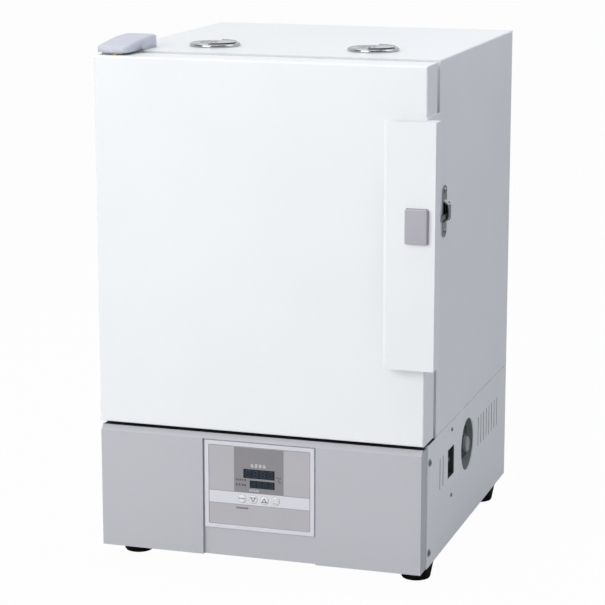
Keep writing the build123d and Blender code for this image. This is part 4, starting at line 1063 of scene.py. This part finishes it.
# Feet and cord gland
def feet(form):
    """Four tapered feet with a groove above the sole and a hollow for the screw."""
    profile = [(0, -2.2), (8.5, -2.2), (9.4, -2.9), (10.2, -23.6), (12.4, -24.0)]
    profile += [(14.6, -24.0), (16.4, -23.3), (17.4, -21.8), (18.0, -18.6), (17.6, -18.0)]
    profile += [(18.2, -17.2), (20.6, -4.6), (21.7, -1.6), (21.4, -0.3), (20.6, 0.0), (0, 0.0)]
    for across in (-177.0, 177.0):
        for back in (61.0, 390.0):
            turned(form, profile, spot(across, back, 0), TOP, 56)


moulded_feet = piece("moulded_feet", feet, foot_rubber, "case", smooth=True)
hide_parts("rubber_feet")


def gland(form):
    """A hexagon nut, a ribbed dome and the threaded tube behind them."""
    centre = spot(-150.0, CASE_DEPTH, 40.0)
    corners = [radians(60 * i + 30) for i in range(6)]
    outer, inner = ([(r * cos(a), r * sin(a)) for a in corners] for r in (10.9, 6.0))
    ring(form, outer, inner, centre, BACK, 4.6)
    dome = [(4.2, 4.6), (9.6, 4.6), (9.7, 9.4), (8.9, 12.2), (7.2, 13.6)]
    dome += [(5.2, 14.0), (4.2, 13.6), (4.0, 12.4), (4.0, 5.0), (4.2, 4.6)]
    turned(form, dome, centre, BACK, 48)
    rib = [(9.3, -0.7), (10.2, -0.5), (10.2, 0.5), (9.3, 0.7)]
    for i in range(12):
        prism(form, swung(rib, 2 * pi * i / 12), centre, BACK, 9.0, -4.8)
    tube = [(4.0, 0.5), (7.9, 0.5), (7.9, -13.9), (4.0, -13.9), (4.0, 0.5)]
    turned(form, tube, centre, BACK, 40)


cord_gland = piece("ribbed_cord_gland", gland, black_plastic, "case")
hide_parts("cable_gland")

# Floor, light and camera
FLOOR_HALF_WIDTH, FLOOR_TONE, FLOOR_GLOW = 12.0, 0.6, 0.975
SURROUND_COLOUR, SURROUND_STRENGTH = (0.90, 0.915, 1.0, 1), 0.395
WHITE = (1, 1, 1, 1)
FOCAL_PIXELS, PICTURE_PIXELS, SENSOR = 2248.6, 605, 36
CAMERA_PLACE = (816, -2419, 862)
YAW, PITCH = radians(17.48), radians(12.16)

floor_mesh = bpy.data.meshes.new("studio_floor")
floor_form = bmesh.new()
bmesh.ops.create_grid(floor_form, x_segments=1, y_segments=1, size=FLOOR_HALF_WIDTH)
floor_form.to_mesh(floor_mesh)
floor_form.free()
put_in_scene("studio_floor", floor_mesh)

# The camera sees the floor near white with the oven's shadow on it
floor_material = bpy.data.materials.new("Pale studio floor")
floor_material.use_nodes = True
tree = floor_material.node_tree
floor_shader = tree.nodes["Principled BSDF"]
floor_shader.inputs["Base Color"].default_value = (FLOOR_TONE, FLOOR_TONE, FLOOR_TONE, 1)
floor_shader.inputs["Roughness"].default_value = 0.9
floor_shader.inputs["Specular IOR Level"].default_value = 0.0
glow = node(tree, "ShaderNodeEmission")
glow.inputs["Strength"].default_value = 1.0
seen = node(tree, "ShaderNodeLightPath").outputs["Is Camera Ray"]
blend = node(tree, "ShaderNodeMixShader")
tree.links.new(maths(tree, "MULTIPLY", seen, FLOOR_GLOW), blend.inputs["Fac"])
tree.links.new(floor_shader.outputs["BSDF"], blend.inputs[1])
tree.links.new(glow.outputs["Emission"], blend.inputs[2])
tree.links.new(blend.outputs["Shader"], tree.nodes["Material Output"].inputs["Surface"])
floor_mesh.materials.append(floor_material)

world = bpy.data.worlds.new("Studio white")
bpy.context.scene.world = world
world.use_nodes = True
tree = world.node_tree
surround = tree.nodes["Background"]
surround.inputs["Color"].default_value = SURROUND_COLOUR
surround.inputs["Strength"].default_value = SURROUND_STRENGTH
backdrop = node(tree, "ShaderNodeBackground")
backdrop.inputs["Color"].default_value = WHITE
rays = node(tree, "ShaderNodeLightPath").outputs
plain_white = maths(tree, "MAXIMUM", rays["Is Camera Ray"], rays["Is Transmission Ray"])
seen_white = maths(tree, "MAXIMUM", plain_white, rays["Is Glossy Ray"])
# Mirrored surfaces see a pale wall behind the oven and a dim room in front of it
towards = node(tree, "ShaderNodeSeparateXYZ")
direction = node(tree, "ShaderNodeTexCoord").outputs["Generated"]
tree.links.new(direction, towards.inputs["Vector"])
room = ranged(tree, towards.outputs["Y"], 0.16, 0.85, -0.45, 0.15)
tree.links.new(maths(tree, "MAXIMUM", plain_white, room), backdrop.inputs["Strength"])
blend = node(tree, "ShaderNodeMixShader")
tree.links.new(seen_white, blend.inputs["Fac"])
tree.links.new(surround.outputs["Background"], blend.inputs[1])
tree.links.new(backdrop.outputs["Background"], blend.inputs[2])
tree.links.new(blend.outputs["Shader"], tree.nodes["World Output"].inputs["Surface"])


def softbox(name, place, aim, size, power, colour=(1, 1, 1)):
    """A square lamp aimed at a place, in metres and watts."""
    lamp = bpy.data.lights.new(name, "AREA")
    lamp.shape = "SQUARE"
    lamp.size = size
    lamp.energy = power
    lamp.color = colour
    made = put_in_scene(name, lamp)
    made.location = place
    made.rotation_mode = "QUATERNION"
    made.rotation_quaternion = (Vector(aim) - Vector(place)).to_track_quat("-Z", "Y")


softbox("front_softbox", (-1.3, -3.2, 1.5), (0, 0, 0.35), 2.2, 70.5)
softbox("top_softbox", (-0.6, 0.0, 3.2), (0, 0, 0.6), 2.6, 36)
softbox("side_fill", (1.05, 0.1, 1.5), (0.2, 0.0, 0.6), 0.8, 4.5, (0.86, 0.92, 1.0))

camera_data = bpy.data.cameras.new("studio_camera")
camera_data.lens = FOCAL_PIXELS / PICTURE_PIXELS * SENSOR
camera_data.sensor_width = SENSOR
camera = put_in_scene("studio_camera", camera_data)
camera.location = spot(*CAMERA_PLACE) * MM
look = Vector((-sin(YAW) * cos(PITCH), cos(YAW) * cos(PITCH), -sin(PITCH)))
camera.rotation_mode = "QUATERNION"
camera.rotation_quaternion = look.to_track_quat("-Z", "Y")
bpy.context.scene.camera = camera
bpy.context.scene.view_settings.view_transform = "Standard"
